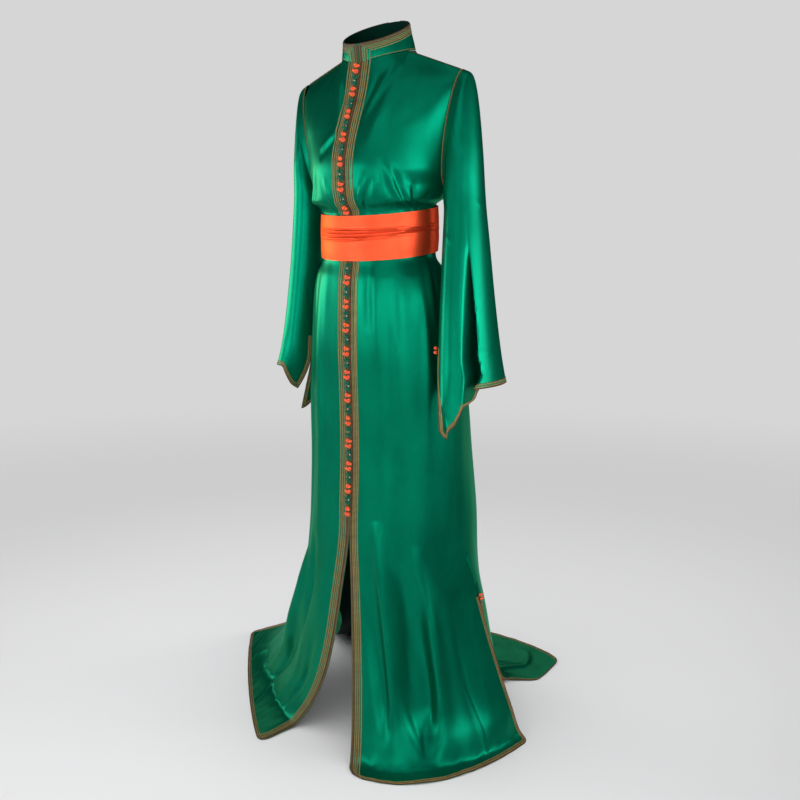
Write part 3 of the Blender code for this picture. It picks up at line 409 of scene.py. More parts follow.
def smooth_along(knots, values, at):
    """Monotone cubic interpolation of rows of values at the given distances."""
    knots = np.asarray(knots, float)
    values = np.asarray(values, float)
    at = np.clip(np.asarray(at, float), knots[0], knots[-1])
    steps = np.diff(knots).reshape((-1,) + (1,) * (values.ndim - 1))
    slopes = np.diff(values, axis=0) / steps
    same_way = slopes[1:] * slopes[:-1] > 0
    safe_sum = np.where(same_way, slopes[1:] + slopes[:-1], 1.0)
    inner = np.where(same_way, 2.0 * slopes[1:] * slopes[:-1] / safe_sum, 0.0)
    tangents = np.concatenate([slopes[:1], inner, slopes[-1:]])
    k = np.clip(np.searchsorted(knots, at, side="right") - 1, 0, len(knots) - 2)
    h = (knots[k + 1] - knots[k]).reshape((-1,) + (1,) * (values.ndim - 1))
    s = ((at - knots[k]) / (knots[k + 1] - knots[k])).reshape(h.shape)
    return ((1 + 2 * s) * (1 - s) ** 2 * values[k] + s * (1 - s) ** 2 * h * tangents[k]
            + s * s * (3 - 2 * s) * values[k + 1] + s * s * (s - 1) * h * tangents[k + 1])


def lengths_along(points):
    """Distance along a row of points, starting at zero."""
    return np.concatenate([[0.0], np.cumsum(np.linalg.norm(np.diff(points, axis=0), axis=1))])


def evenly_spaced(points, count):
    """Resample a row of points at equal distances."""
    along = lengths_along(points[:, :3])
    wanted = np.linspace(0, along[-1], count)
    return np.column_stack([np.interp(wanted, along, points[:, i]) for i in range(points.shape[1])])


def quarter_round(start, end, fullness, turn=90.0):
    """Section from start, where it runs along X, swinging round to end by turn degrees."""
    t = np.linspace(0, math.radians(turn), ARC_SAMPLES)
    sx = np.sin(t) ** (2 / fullness)
    cy = np.abs(np.cos(t)) ** (2 / fullness)
    x = start[0] + (end[0] - start[0]) * sx / sx[-1]
    y = end[1] + (start[1] - end[1]) * (cy - cy[-1]) / (1 - cy[-1])
    z = start[2] + (end[2] - start[2]) * (t / t[-1])
    return evenly_spaced(np.column_stack([x, y, z]), DENSE)


def armhole_point(side, angle, front=True):
    """Point of the armhole; angle 0 is the shoulder point and pi the underarm."""
    a = ARMHOLE
    y = a["y"] - math.sin(angle) * a["half_y"] * (1 if front else -1)
    return (side * (a["x"] + a["half_x"] * math.cos(angle)), y,
            a["height"] + a["half_height"] * math.cos(angle))


def side_point(side, section, front):
    """End of a section at the armhole or the side seam, the same for front and back."""
    height = section["side_height"]
    if math.isnan(section["side_y"]):
        cosine = (height - ARMHOLE["height"]) / ARMHOLE["half_height"]
        return armhole_point(side, math.acos(cosine), front)
    share = section["right_share"] if side < 0 else 1.0
    return (side * section["side_x"] * share, section["side_y"], height)


def top_edge(side, front):
    """Half of a panel's top: the neckline from the centre, then the shoulder seam."""
    neck = FRONT_NECK if front else BACK_NECK
    start = (side * FRONT_GAP / 2 if front else 0.0, neck["y"], neck["height"])
    side_neck = (side * SIDE_NECK["x"], SIDE_NECK["y"], SIDE_NECK["height"])
    count = int(round(NECK_SHARE * (DENSE - 1)))
    neckline = evenly_spaced(quarter_round(start, side_neck, NECK_FULLNESS), count + 1)
    shoulder = np.linspace(side_neck, armhole_point(side, 0.0), DENSE - count)
    return np.vstack([neckline[:-1], shoulder])


def body_section_rows():
    """Rows of the body table, each as a dictionary."""
    columns = table(BODY_COLUMNS, BODY_SECTIONS)
    return [{name: values[i] for name, values in columns.items()} for i in range(len(BODY_SECTIONS))]


def front_sections(side, spread_rows):
    """All sections of one front, with their distances down."""
    downs = [0.0]
    curves = [top_edge(side, True)]
    for section in body_section_rows():
        start = (side * FRONT_GAP / 2, section["front_y"], section["front_height"])
        downs.append(section["down"])
        curves.append(quarter_round(start, side_point(side, section, True), section["fullness"],
                                    section["turn"]))
    spread = table(SPREAD_COLUMNS, spread_rows)
    for i, down in enumerate(spread["down"]):
        start = (spread["inner_x"][i], spread["inner_y"][i], spread["inner_height"][i])
        end = (spread["outer_x"][i], spread["outer_y"][i], spread["outer_height"][i])
        downs.append(down)
        curves.append(quarter_round(start, end, spread["fullness"][i]))
    return downs, np.array(curves)


def row_downs(last):
    """Distances down of a panel's rows: the same for all panels as far as the side slits."""
    return np.concatenate([np.linspace(0.0, SIDE_SLIT_DOWN, UPPER_ROWS),
                           np.linspace(SIDE_SLIT_DOWN, last, LOWER_ROWS + 1)[1:]])


def surface_normals(points, outward):
    """Unit normals of a grid of points; outward is +1 or -1."""
    normals = np.cross(np.gradient(points, axis=1), np.gradient(points, axis=0)) * outward
    return normals / np.maximum(np.linalg.norm(normals, axis=2, keepdims=True), 1e-12)


def add_folds(points, downs, folds, outward):
    """Push the surface out or in along long soft ridges and troughs."""
    columns = table(FOLD_COLUMNS, folds)
    across = np.linspace(0, 1, points.shape[1])[None, :]
    down = np.asarray(downs)[:, None]
    push = np.zeros(points.shape[:2])
    for i in range(len(folds)):
        start, end = columns["start"][i], columns["end"][i]
        share = np.clip((down - start) / (end - start), 0, 1)
        centre = columns["across_top"][i] + (columns["across_end"][i] - columns["across_top"][i]) * share
        strength = np.sin(math.pi * share ** FOLD_SKEW) ** FOLD_FADE * (down < end)
        push += columns["height"][i] * strength * np.exp(-((across - centre) / columns["width"][i]) ** 2)
    return points + surface_normals(points, outward) * push[:, :, None]


def rest_on_floor(points):
    """Keep the cloth on the floor, with a soft bend where it lands."""
    lowest = CLOTH / 2
    height = points[:, :, 2] - lowest
    rounded = 0.5 * (height + np.sqrt(height ** 2 + FLOOR_BEND ** 2))
    settled = rounded - FLOOR_BEND / 2 * np.exp(-height / FLOOR_SETTLE)
    points[:, :, 2] = lowest + np.maximum(settled, 0.0)
    return points


def from_start_edge(points):
    """Distance of each point of a grid from the start edge, along its row."""
    steps = np.linalg.norm(np.diff(points, axis=1), axis=2)
    return np.concatenate([np.zeros((len(points), 1)), np.cumsum(steps, axis=1)], axis=1)


def from_top_edge(points):
    """Distance of each point of a grid from the top edge, along its column."""
    steps = np.linalg.norm(np.diff(points, axis=0), axis=2)
    return np.concatenate([np.zeros((1, points.shape[1])), np.cumsum(steps, axis=0)], axis=0)


def panel_places(points, downs):
    """Where each point lies on its flat panel: metres from the start edge, and metres down."""
    return from_start_edge(points), np.repeat(np.asarray(downs)[:, None], points.shape[1], axis=1)


def between(values, at_row, at_column):
    """Values of a grid at places between its rows and columns."""
    rows, columns = values.shape[:2]
    i = np.clip(at_row.astype(int), 0, rows - 2)
    j = np.clip(at_column.astype(int), 0, columns - 2)
    s, t = (at_row - i)[..., None], (at_column - j)[..., None]
    return ((1 - s) * ((1 - t) * values[i, j] + t * values[i, j + 1])
            + s * ((1 - t) * values[i + 1, j] + t * values[i + 1, j + 1]))


def eased(share):
    """Ease from 0 to 1."""
    share = np.clip(share, 0, 1)
    return share * share * (3 - 2 * share)


def crease_push(across, down, creases, ending=None):
    """How far each point of a panel moves along its normal for a table of creases.

    A crease is deepest at its middle. Where an ending is given it is deepest that share before its lower
    end, and narrows towards it.
    """
    columns = table(CREASE_COLUMNS, creases)
    push = np.zeros(across.shape)
    for i in range(len(creases)):
        start, end = [np.array([columns["across_" + k][i]
                                * np.interp(columns["down_" + k][i], down[:, 0], across[:, -1]),
                                columns["down_" + k][i]]) for k in ("1", "2")]
        step = end - start
        t = ((across - start[0]) * step[0] + (down - start[1]) * step[1]) / float(step @ step)
        held = np.clip(t, 0, 1)
        off = np.hypot(across - start[0] - held * step[0], down - start[1] - held * step[1])
        if ending is None:
            strength = np.sin(math.pi * held) ** 0.8
        else:
            strength = eased(held / (1 - ending)) * eased((1 - held) / ending)
        width = columns["width"][i] * (1 if ending is None else 1.25 - 0.75 * held)
        push += columns["height"][i] * strength * np.exp(-(off / width) ** 2)
    return push


def swell(across, down, seed, length_across, length_down, height, count=16):
    """Smooth uneven waves: a sum of cosines in seeded directions."""
    draw = np.random.default_rng(seed)
    total = np.zeros(across.shape)
    for _ in range(count):
        turns = draw.normal(0, 1, 2) / (length_across, length_down)
        total += np.cos(2 * math.pi * (across * turns[0] + down * turns[1]) + draw.uniform(0, 2 * math.pi))
    return total * height / math.sqrt(count)


def colour_ramp(tree, *stops):
    """A colour ramp with two stops, each as (position, colour)."""
    made = node(tree, "ValToRGB")
    for element, (position, colour) in zip(made.color_ramp.elements, stops):
        element.position = position
        element.color = colour
    return made


def satin(name, face, deep, roughness, metallic, glint):
    """Satin with warp lines, uneven dye and a fine bump, laid out in metres on the flat panel."""
    made, tree, shader = new_material(name)
    place = node(tree, "UVMap")
    warp = node(tree, "Mapping", Scale=(1300.0, 40.0, 1.0))
    threads = node(tree, "TexNoise", Scale=1.0, Detail=2.0, Roughness=0.6)
    soft = node(tree, "Mapping", Scale=(14.0, 6.0, 1.0))
    patches = node(tree, "TexNoise", Scale=1.0, Detail=4.0, Roughness=0.6)
    wire(tree, (place, "UV", warp, "Vector"), (warp, "Vector", threads, "Vector"),
         (place, "UV", soft, "Vector"), (soft, "Vector", patches, "Vector"))

    dye = node(tree, "Math", operation="MULTIPLY_ADD")
    dye.inputs[1].default_value = 0.40
    colour = colour_ramp(tree, (0.50, deep), (0.90, face))
    gloss = node(tree, "MapRange", To_Min=roughness - 0.04, To_Max=roughness + 0.05)
    wire(tree, (threads, "Fac", dye, 0), (patches, "Fac", dye, 2), (dye, "Value", colour, "Fac"),
         (colour, "Color", shader, "Base Color"), (threads, "Fac", gloss, "Value"),
         (gloss, "Result", shader, "Roughness"))

    twill_place = node(tree, "Mapping", Scale=(260.0, 90.0, 1.0))
    twill = node(tree, "TexWave", wave_type="BANDS", bands_direction="DIAGONAL", Scale=1.0, Distortion=0.5)
    raised = node(tree, "Math", operation="MULTIPLY_ADD")
    raised.inputs[1].default_value = 0.5
    weave = node(tree, "Bump", Strength=0.30, Distance=0.00005)
    ripple = node(tree, "Bump", Strength=0.50, Distance=0.0009)
    wire(tree, (place, "UV", twill_place, "Vector"), (twill_place, "Vector", twill, "Vector"),
         (twill, "Fac", raised, 0), (threads, "Fac", raised, 2), (raised, "Value", weave, "Height"),
         (patches, "Fac", ripple, "Height"), (ripple, "Normal", weave, "Normal"),
         (weave, "Normal", shader, "Normal"))
    shader.inputs["Metallic"].default_value = metallic
    shader.inputs["Specular IOR Level"].default_value = 0.12
    shader.inputs["Specular Tint"].default_value = glint
    made.diffuse_color = face
    return made


def piece(name, verts, faces, surfaces, face_surfaces, corner_places, sharp=50.0):
    """Make an object from vertices measured from the floor."""
    places = np.array(verts, float)
    places[:, 2] -= SHOULDER_HEIGHT
    mesh = new_mesh(name, places.tolist(), faces, surfaces, face_surfaces, corner_places)
    mesh.shade_smooth()
    mesh.set_sharp_from_angle(angle=math.radians(sharp))
    return new_object(name, mesh)


def stands_for(made, node_name):
    """Tie an object to the one body, in place of its solid."""
    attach(made, "root")
    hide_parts(node_name)
    return made


def cloth_piece(name, grid, outward, surfaces, thickness=CLOTH, joined=0):
    """Thin closed cloth over a grid, standing for the solid of the same name.

    outward tells which way round the grid runs, and its first joined rows close on themselves.
    """
    points, normals, (across, down) = grid
    rows, columns = points.shape[:2]
    plain = np.arange(rows * columns).reshape(rows, columns)
    shared = plain.copy()
    shared[:joined, -1] = shared[:joined, 0]
    corners = (np.s_[:-1, :-1], np.s_[:-1, 1:], np.s_[1:, 1:], np.s_[1:, :-1])
    quads, own = (np.stack([ids[c] for c in corners], axis=-1).reshape(-1, 4) for ids in (shared, plain))
    if outward < 0:
        quads, own = quads[:, ::-1], own[:, ::-1]
    count = rows * columns
    edges = {tuple(edge) for k in range(4) for edge in quads[:, [k, (k + 1) % 4]].tolist()}
    rim = np.array([(q, p, p + count, q + count) for p, q in sorted(edges) if (q, p) not in edges])
    flat = np.stack([across, down], axis=-1).reshape(-1, 2)
    flat = np.concatenate([flat, flat])
    faces = np.concatenate([quads, quads[:, ::-1] + count, rim])
    places = flat[np.concatenate([own, own[:, ::-1] + count, rim]).ravel()]
    face_surfaces = [0] * len(quads) + [1] * len(quads) + [0] * len(rim)
    verts = np.concatenate([(points + normals * thickness / 2).reshape(-1, 3),
                            (points - normals * thickness / 2).reshape(-1, 3)])
    used, faces = np.unique(faces, return_inverse=True)
    faces = faces.reshape(-1, 4).tolist()
    made = piece("cloth_" + name, verts[used], faces, surfaces, face_surfaces, places)
    return stands_for(made, name)


def front_panel(side, name, seed):
    """Fine grid of one front, from its centre edge round to the side, and how its creases move it."""
    knots, curves = front_sections(side, FRONT_SPREADS[name])
    downs = row_downs(knots[-1])
    points = rest_on_floor(add_folds(smooth_along(knots, curves, downs), downs, FRONT_FOLDS[name], side))
    points = np.array([evenly_spaced(row, FRONT_COLUMNS) for row in points])
    return points, downs, crumple(points, downs, FRONT_CREASES[name], seed, FRONT_DIPS[name])


def crumple(points, downs, creases, seed, dips=()):
    """How far the satin's creases and swell move each point, fading towards the sewn edges."""
    across, down = panel_places(points, downs)
    free = np.clip((down - SKIRT_START) / SKIRT_FREE, 0, 1)
    push = crease_push(across, down, creases) + crease_push(across, down, dips, DIP_ENDING)
    push += swell(across, down, seed, *SKIRT_SWELL) * free
    push += swell(across, down, seed + 1, *SHORT_SWELL)
    lying = np.exp(-points[:, :, 2] / LYING_HEIGHT) * np.clip((down - SIDE_SLIT_DOWN) / 0.1, 0, 1)
    push += (swell(across, down, seed + 2, *LYING_SWELL) + LYING_LIFT) * lying
    from_edge = np.minimum(across, across[:, -1:] - across)
    inside = EDGE_LEFT + (1 - EDGE_LEFT) * np.clip(from_edge / EDGE_FADE, 0, 1)
    return push * inside * np.clip(down / EDGE_FADE, 0, 1)


def pressed(points, downs, push, outward, corners=(0.0, 0.0)):
    """The grid with its creases pushed in and its hem corners rounded, its normals and its flat places."""
    points = points + surface_normals(points, outward) * push[:, :, None]
    points[:, :, 2] = np.maximum(points[:, :, 2], CLOTH / 2)
    normals, (across, down) = surface_normals(points, outward), panel_places(points, downs)
    rows, columns = down.shape
    from_top = from_top_edge(points)
    from_hem = from_top[-1:] - from_top
    at_row, at_column = np.mgrid[0:rows, 0:columns].astype(float)
    for reach, from_side, sign in ((corners[0], across, 1), (corners[1], across[:, -1:] - across, -1)):
        if reach == 0:
            continue
        u, v = 1 - from_side / reach, 1 - from_hem / reach
        for i, j in zip(*np.nonzero((u > 0) & (v > 0))):
            side = reach * (1 - u[i, j] * math.sqrt(1 - v[i, j] ** 2 / 2))
            hem = reach * (1 - v[i, j] * math.sqrt(1 - u[i, j] ** 2 / 2))
            at_row[i, j] = np.interp(hem, from_hem[::-1, j], np.arange(rows - 1, -1, -1.0))
            at_column[i, j] = (np.interp(side, across[i], np.arange(columns)) if sign > 0 else
                               np.interp(across[i, -1] - side, across[i], np.arange(columns)))
    whole = np.concatenate([points, normals, across[:, :, None], down[:, :, None]], axis=2)
    whole = between(whole, at_row, at_column)
    return whole[:, :, :3], whole[:, :, 3:6], (whole[:, :, 6], whole[:, :, 7])


green_satin = satin("green_satin_face", (0.0006, 0.185, 0.100, 1.0), (0.0004, 0.135, 0.072, 1.0), 0.33,
                    0.75, (0.02, 0.85, 0.50, 1.0))
# The reverse is duller satin, and its near-black colour is painted shade that makes the inside of the
# garment read dark.
green_reverse_painted_shade = satin("green_satin_reverse_painted_shade", (0.0005, 0.014, 0.008, 1.0), (0.0003, 0.008, 0.005, 1.0), 0.62,
                      0.0, (0.1, 0.9, 0.6, 1.0))
satin_sides = [green_satin, green_reverse_painted_shade]

fronts = {}
for name, side, seed in (("left", 1, 11), ("right", -1, 23)):
    points, downs, push = front_panel(side, name, seed)
    grid = pressed(points, downs, push, -side, FRONT_CORNERS)
    cloth = cloth_piece("front_" + name, grid, -side, satin_sides)
    fronts[name] = {"grid": grid, "cloth": cloth}

# Gimp braid of the fronts: rows at distances from the centre edge, as (distance, width, height, thread),
# and below them the narrow braid's rows at distances from the hem and the side slit.
GOLD, OLIVE, RUST, GREEN = range(4)
FRONT_ROWS = (
    (0.0024, 0.0044, 0.0010, OLIVE),
    (0.0068, 0.0040, 0.0014, RUST),
    (0.0100, 0.0020, 0.0011, GOLD),
    (0.0128, 0.0016, 0.0007, GREEN),
    (0.0152, 0.0021, 0.0011, GOLD),
    (0.0178, 0.0026, 0.0012, OLIVE),
    (0.0204, 0.0021, 0.0011, GOLD),
    (0.0264, 0.0022, 0.0012, GOLD),
    (0.0284, 0.0013, 0.0007, GREEN),
)
HEM_ROWS = (
    (0.0015, 0.0030, 0.0012, RUST),
    (0.0042, 0.0018, 0.0010, GOLD),
    (0.0066, 0.0028, 0.0010, OLIVE),
    (0.0092, 0.0015, 0.0009, GOLD),
)
BAND_NARROWS = {"left": 0.27, "right": 0.0}   # how much closer the rows lie at the middle of the skirt
ROW_STEP = 0.0030            # metres between the rings of a row
ROW_SIDES = 6
ROW_SINK = 0.0002            # how far a row's foot sinks into the cloth


def gimp_thread(name, light, dark, twist, roughness, metallic=0.0):
    """Thread wound in fine slanting turns; UV is metres along the row and a share round it."""
    made, tree, shader = new_material(name)
    place = node(tree, "UVMap")
    slant = node(tree, "Mapping", Scale=(2 * math.pi / (10 * twist), 0.35, 1.0))
    turns = node(tree, "TexWave", wave_type="BANDS", bands_direction="DIAGONAL", Scale=1.0, Distortion=0.8)
    wear_place = node(tree, "Mapping", Scale=(90.0, 2.0, 1.0))
    wear = node(tree, "TexNoise", Scale=1.0, Detail=3.0, Roughness=0.65)
    # Painted shade: the colour darkens in the grooves between the turns and lightens on their tops, mixed
    # with random tone from the wear noise.
    mixed = node(tree, "Math", operation="MULTIPLY_ADD")
    mixed.inputs[1].default_value = 0.55
    colour = colour_ramp(tree, (0.40, dark), (1.00, light))
    raised = node(tree, "Bump", Strength=0.8, Distance=0.0004)
    wire(tree, (place, "UV", slant, "Vector"), (slant, "Vector", turns, "Vector"),
         (place, "UV", wear_place, "Vector"), (wear_place, "Vector", wear, "Vector"),
         (turns, "Fac", mixed, 0), (wear, "Fac", mixed, 2), (mixed, "Value", colour, "Fac"),
         (colour, "Color", shader, "Base Color"), (turns, "Fac", raised, "Height"),
         (raised, "Normal", shader, "Normal"))
    shader.inputs["Roughness"].default_value = roughness
    shader.inputs["Metallic"].default_value = metallic
    shader.inputs["Specular IOR Level"].default_value = 0.25
    made.diffuse_color = light
    return made


def top_of_slit(grid):
    """First row of a panel below the top of its side slit."""
    return int(np.searchsorted(grid[2][1][:, 0], SIDE_SLIT_DOWN - 1e-6))


def edge_line(grid, distances, route, top=0, narrows=0.0):
    """Line at set distances from a grid's edges: down the start edge, along the hem, up the end edge.

    distances are from the start and end edges and from the hem. top is the first row, and narrows is how
    much nearer to the start edge the line lies at the middle of its height. Returns points and normals.
    """
    points, normals = grid[:2]
    rows, columns = points.shape[:2]
    from_start, from_top = from_start_edge(points), from_top_edge(points)
    from_end = from_start[:, -1:] - from_start
    from_hem = from_top[-1:] - from_top
    side, hem = distances
    numbers = np.arange(columns, dtype=float)
    marks = []
    if "start" in route:
        for i in range(top, rows):
            near = side * (1 - narrows * math.sin(math.pi * from_top[i, 0] / from_top[-1, 0]))
            j = np.interp(near, from_start[i], numbers)
            if "hem" not in route or np.interp(j, numbers, from_hem[i]) >= hem:
                marks.append((i, j))
    if "hem" in route:
        for j in range(columns):
            i = np.interp(hem, from_hem[::-1, j], np.arange(rows - 1, -1, -1.0))
            clear_start = "start" not in route or np.interp(i, np.arange(rows), from_start[:, j]) >= side
            clear_end = "end" not in route or np.interp(i, np.arange(rows), from_end[:, j]) >= side
            if clear_start and clear_end:
                marks.append((i, float(j)))
    if "end" in route:
        for i in range(rows - 1, -1, -1):
            j = np.interp(-side, -from_end[i], numbers)
            if i >= top_of_slit(grid) and np.interp(j, numbers, from_hem[i]) >= hem:
                marks.append((i, j))
    marks = np.array(marks)
    line = between(np.concatenate([points, normals], axis=2), marks[:, 0], marks[:, 1])
    count = max(4, int(lengths_along(line[:, :3])[-1] / ROW_STEP) + 1)
    return evenly_spaced(line, count)


def rows_along(grid, gimp_rows, route, **limits):
    """Rows of gimp at the distances of a table, the same from the sides as from the hem."""
    return [(edge_line(grid, (distance, distance), route, **limits), width, height, kind)
            for distance, width, height, kind in gimp_rows]


def raised_rows(name, rows, closed=False):
    """Rows of gimp in one mesh: each a flat-bottomed cord on a line, as (line, width, height, thread)."""
    verts, faces, kinds, places = [], [], [], []
    turn = np.linspace(0, math.pi, ROW_SIDES)
    for line, width, height, kind in rows:
        points, normals = line[:, :3], line[:, 3:]
        if closed:
            ahead = np.roll(points, -1, axis=0) - np.roll(points, 1, axis=0)
        else:
            ahead = np.gradient(points, axis=0)
        ahead /= np.maximum(np.linalg.norm(ahead, axis=1, keepdims=True), 1e-12)
        sideways = np.cross(ahead, normals)
        sideways /= np.maximum(np.linalg.norm(sideways, axis=1, keepdims=True), 1e-12)
        up = np.cross(sideways, ahead)
        rings = (points[:, None] + sideways[:, None] * (np.cos(turn) * width / 2)[None, :, None]
                 + up[:, None] * (CLOTH / 2 - ROW_SINK + np.sin(turn) * height)[None, :, None])
        base = len(verts)
        verts += rings.reshape(-1, 3).tolist()
        along = lengths_along(points)
        count = len(points)
        for i in range(count if closed else count - 1):
            after = (i + 1) % count
            ends = (along[i], along[i] + ROW_STEP if after == 0 else along[after])
            for k in range(ROW_SIDES):
                m = (k + 1) % ROW_SIDES
                share = k / (ROW_SIDES - 1), (m if m else ROW_SIDES) / (ROW_SIDES - 1)
                faces.append([base + i * ROW_SIDES + k, base + i * ROW_SIDES + m,
                              base + after * ROW_SIDES + m, base + after * ROW_SIDES + k])
                places += [(ends[a], share[b]) for a, b in ((0, 0), (0, 1), (1, 1), (1, 0))]
                kinds.append(kind)
        if not closed:
            last = base + (count - 1) * ROW_SIDES
            faces.append([base + k for k in reversed(range(ROW_SIDES))])
            faces.append([last + k for k in range(ROW_SIDES)])
            places += [(0.0, 0.0)] * (2 * ROW_SIDES)
            kinds += [kind, kind]
    return piece(name, verts, faces, threads, kinds, places, sharp=60.0)


def sewn_braid(name, node_name, rows, closed=False):
    """Rows of gimp that stand for a solid band of braid."""
    return stands_for(raised_rows(name, rows, closed), node_name)


threads = [gimp_thread("gold_gimp", (0.38, 0.26, 0.085, 1.0), (0.11, 0.07, 0.020, 1.0), 0.0016, 0.42, 0.2),
           gimp_thread("olive_gimp", (0.11, 0.10, 0.034, 1.0), (0.03, 0.03, 0.010, 1.0), 0.0019, 0.55),
           gimp_thread("rust_gimp", (0.11, 0.038, 0.016, 1.0), (0.03, 0.011, 0.005, 1.0), 0.0022, 0.50),
           gimp_thread("green_fringe", (0.003, 0.16, 0.09, 1.0), (0.001, 0.05, 0.03, 1.0), 0.0030, 0.55)]

for name, front in fronts.items():
    rows = rows_along(front["grid"], FRONT_ROWS, "start", narrows=BAND_NARROWS[name])
    rows += rows_along(front["grid"], HEM_ROWS, "hem end")
    front["braid"] = sewn_braid("gimp_front_" + name, "braid_front_" + name, rows)

# ---- Back -----------------------------------------------------------------------------------------
# The back is one piece from the neck seam to the train, in the same satin. It is sewn to the fronts at
# the shoulders and sides, and its hem and side slits are edged with the narrow braid.
BACK_COLUMNS_FINE = 98
BACK_CORNER = 0.040
BACK_COLUMNS = ("down left_x left_y left_height middle_x middle_y middle_height "
                "right_x right_y right_height fullness")
BACK_SPREAD = (
    (1.130, 0.2040, 0.080, 0.325, -0.020, 0.250, 0.325, -0.2220, 0.055, 0.325, 1.55),
    (1.290, 0.1580, 0.190, 0.160, -0.035, 0.320, 0.170, -0.2550, 0.170, 0.180, 2.00),
    (1.410, 0.1080, 0.325, 0.052, -0.075, 0.410, 0.055, -0.3500, 0.290, 0.075, 1.90),
    (1.480, 0.0920, 0.392, 0.008, -0.100, 0.480, 0.006, -0.4300, 0.360, 0.022, 1.80),
    (1.560, 0.1480, 0.455, 0.000, -0.125, 0.570, 0.000, -0.5200, 0.440, 0.006, 1.80),
    (1.680, 0.1340, 0.579, 0.000, -0.150, 0.672, 0.000, -0.6200, 0.540, 0.000, 1.80),
)
BACK_FOLDS = (
    (0.00, 0.16, 0.260, 0.240, 0.110, 0.012),
    (0.00, 0.16, 0.740, 0.760, 0.110, 0.012),
    (0.44, 1.40, 0.300, 0.260, 0.045, -0.012),
    (0.44, 1.45, 0.400, 0.380, 0.045, 0.010),
    (0.44, 1.48, 0.520, 0.520, 0.040, -0.012),
    (0.44, 1.48, 0.640, 0.660, 0.045, 0.010),
    (0.46, 1.45, 0.740, 0.780, 0.045, -0.012),
)
BACK_CREASES = (
    (0.150, 0.160, 0.331, 0.300, 0.012, 0.0035),
    (0.200, 0.120, 0.331, 0.230, 0.009, -0.0030),
    (0.160, 0.850, 0.331, 0.710, 0.012, 0.0035),
    (0.210, 0.890, 0.331, 0.770, 0.009, -0.0028),
    (0.230, 0.380, 0.331, 0.420, 0.010, 0.0025),
    (0.240, 0.600, 0.331, 0.570, 0.009, -0.0025),
    (0.420, 0.180, 0.640, 0.160, 0.010, 0.0030),
    (0.420, 0.120, 0.560, 0.100, 0.008, -0.0025),
    (0.420, 0.460, 0.700, 0.450, 0.009, -0.0030),
    (0.420, 0.570, 0.760, 0.590, 0.009, 0.0028),
    (0.420, 0.840, 0.620, 0.860, 0.009, 0.0030),
    (0.430, 0.910, 0.560, 0.930, 0.007, -0.0025),
    (1.430, 0.100, 1.640, 0.180, 0.010, 0.0040),
    (1.450, 0.220, 1.670, 0.260, 0.012, -0.0030),
    (1.470, 0.340, 1.660, 0.400, 0.011, 0.0038),
    (1.450, 0.500, 1.670, 0.520, 0.012, 0.0035),
    (1.480, 0.660, 1.650, 0.640, 0.011, -0.0030),
    (1.440, 0.800, 1.660, 0.760, 0.011, 0.0038),
    (1.480, 0.900, 1.640, 0.860, 0.010, 0.0030),
)


def back_sections():
    """All sections of the back, from the wearer's left round to the right."""
    downs = [0.0]
    halves = [(top_edge(1, False), top_edge(-1, False))]
    for section in body_section_rows():
        middle = (0.0, section["back_y"], section["back_height"])
        downs.append(section["down"])
        halves.append([quarter_round(middle, side_point(side, section, False), section["fullness"],
                                     section["turn"]) for side in (1, -1)])
    spread = table(BACK_COLUMNS, BACK_SPREAD)
    for i, down in enumerate(spread["down"]):
        middle, left, right = [tuple(spread[name + axis][i] for axis in ("x", "y", "height"))
                               for name in ("middle_", "left_", "right_")]
        downs.append(down)
        halves.append([quarter_round(middle, end, spread["fullness"][i]) for end in (left, right)])
    return downs, np.array([np.vstack([left[::-1], right[1:]]) for left, right in halves])


knots, curves = back_sections()
downs = row_downs(knots[-1])
points = rest_on_floor(add_folds(smooth_along(knots, curves, downs), downs, BACK_FOLDS, -1))
points = np.array([evenly_spaced(row, BACK_COLUMNS_FINE) for row in points])
points, normals, places = pressed(points, downs, crumple(points, downs, BACK_CREASES, 37), -1,
                                  (BACK_CORNER, BACK_CORNER))
seam_rows = np.flatnonzero((downs >= UNDERARM_DOWN) & (downs <= SIDE_SLIT_DOWN + 1e-6))
for edge, name in ((0, "left"), (-1, "right")):
    points[seam_rows, edge] = fronts[name]["grid"][0][seam_rows, -1]
    normals[seam_rows, edge] = fronts[name]["grid"][1][seam_rows, -1]
back_grid = (points, normals, places)
cloth_back = cloth_piece("back", back_grid, -1, satin_sides)
rows = rows_along(back_grid, HEM_ROWS, "start hem end", top=top_of_slit(back_grid))
gimp_back = sewn_braid("gimp_back", "braid_back", rows)

# ---- Sleeves --------------------------------------------------------------------------------------
# Wide straight sleeves in the same satin, sewn into the armholes. The one seam of each opens at the
# cuff into a slit, whose corners hang low, and the cuff and slit are edged with rows of gimp.
SLEEVE_COLUMNS = "down x y height half_x half_height half_y"
SLEEVE_RINGS = {
    "left": (
        (0.030, 0.1930, 0.011, 1.292, 0.024, 0.109, 0.037),
        (0.085, 0.2020, 0.009, 1.218, 0.034, 0.060, 0.047),
        (0.150, 0.2090, 0.006, 1.150, 0.035, 0.020, 0.052),
        (0.230, 0.2150, 0.003, 1.070, 0.039, 0.010, 0.061),
        (0.350, 0.2235, -0.002, 0.950, 0.044, 0.004, 0.076),
        (0.450, 0.2340, -0.008, 0.850, 0.049, 0.000, 0.089),
        (0.505, 0.2420, -0.012, 0.795, 0.052, 0.000, 0.098),
    ),
    "right": (
        (0.030, -0.1910, 0.013, 1.292, 0.021, 0.109, 0.037),
        (0.085, -0.1950, 0.016, 1.218, 0.030, 0.060, 0.046),
        (0.150, -0.1980, 0.024, 1.150, 0.033, 0.020, 0.052),
        (0.230, -0.2030, 0.030, 1.070, 0.036, 0.010, 0.060),
        (0.350, -0.2110, 0.036, 0.950, 0.039, 0.004, 0.075),
        (0.450, -0.2200, 0.038, 0.850, 0.042, 0.000, 0.089),
        (0.505, -0.2270, 0.038, 0.806, 0.044, 0.000, 0.098),
    ),
}
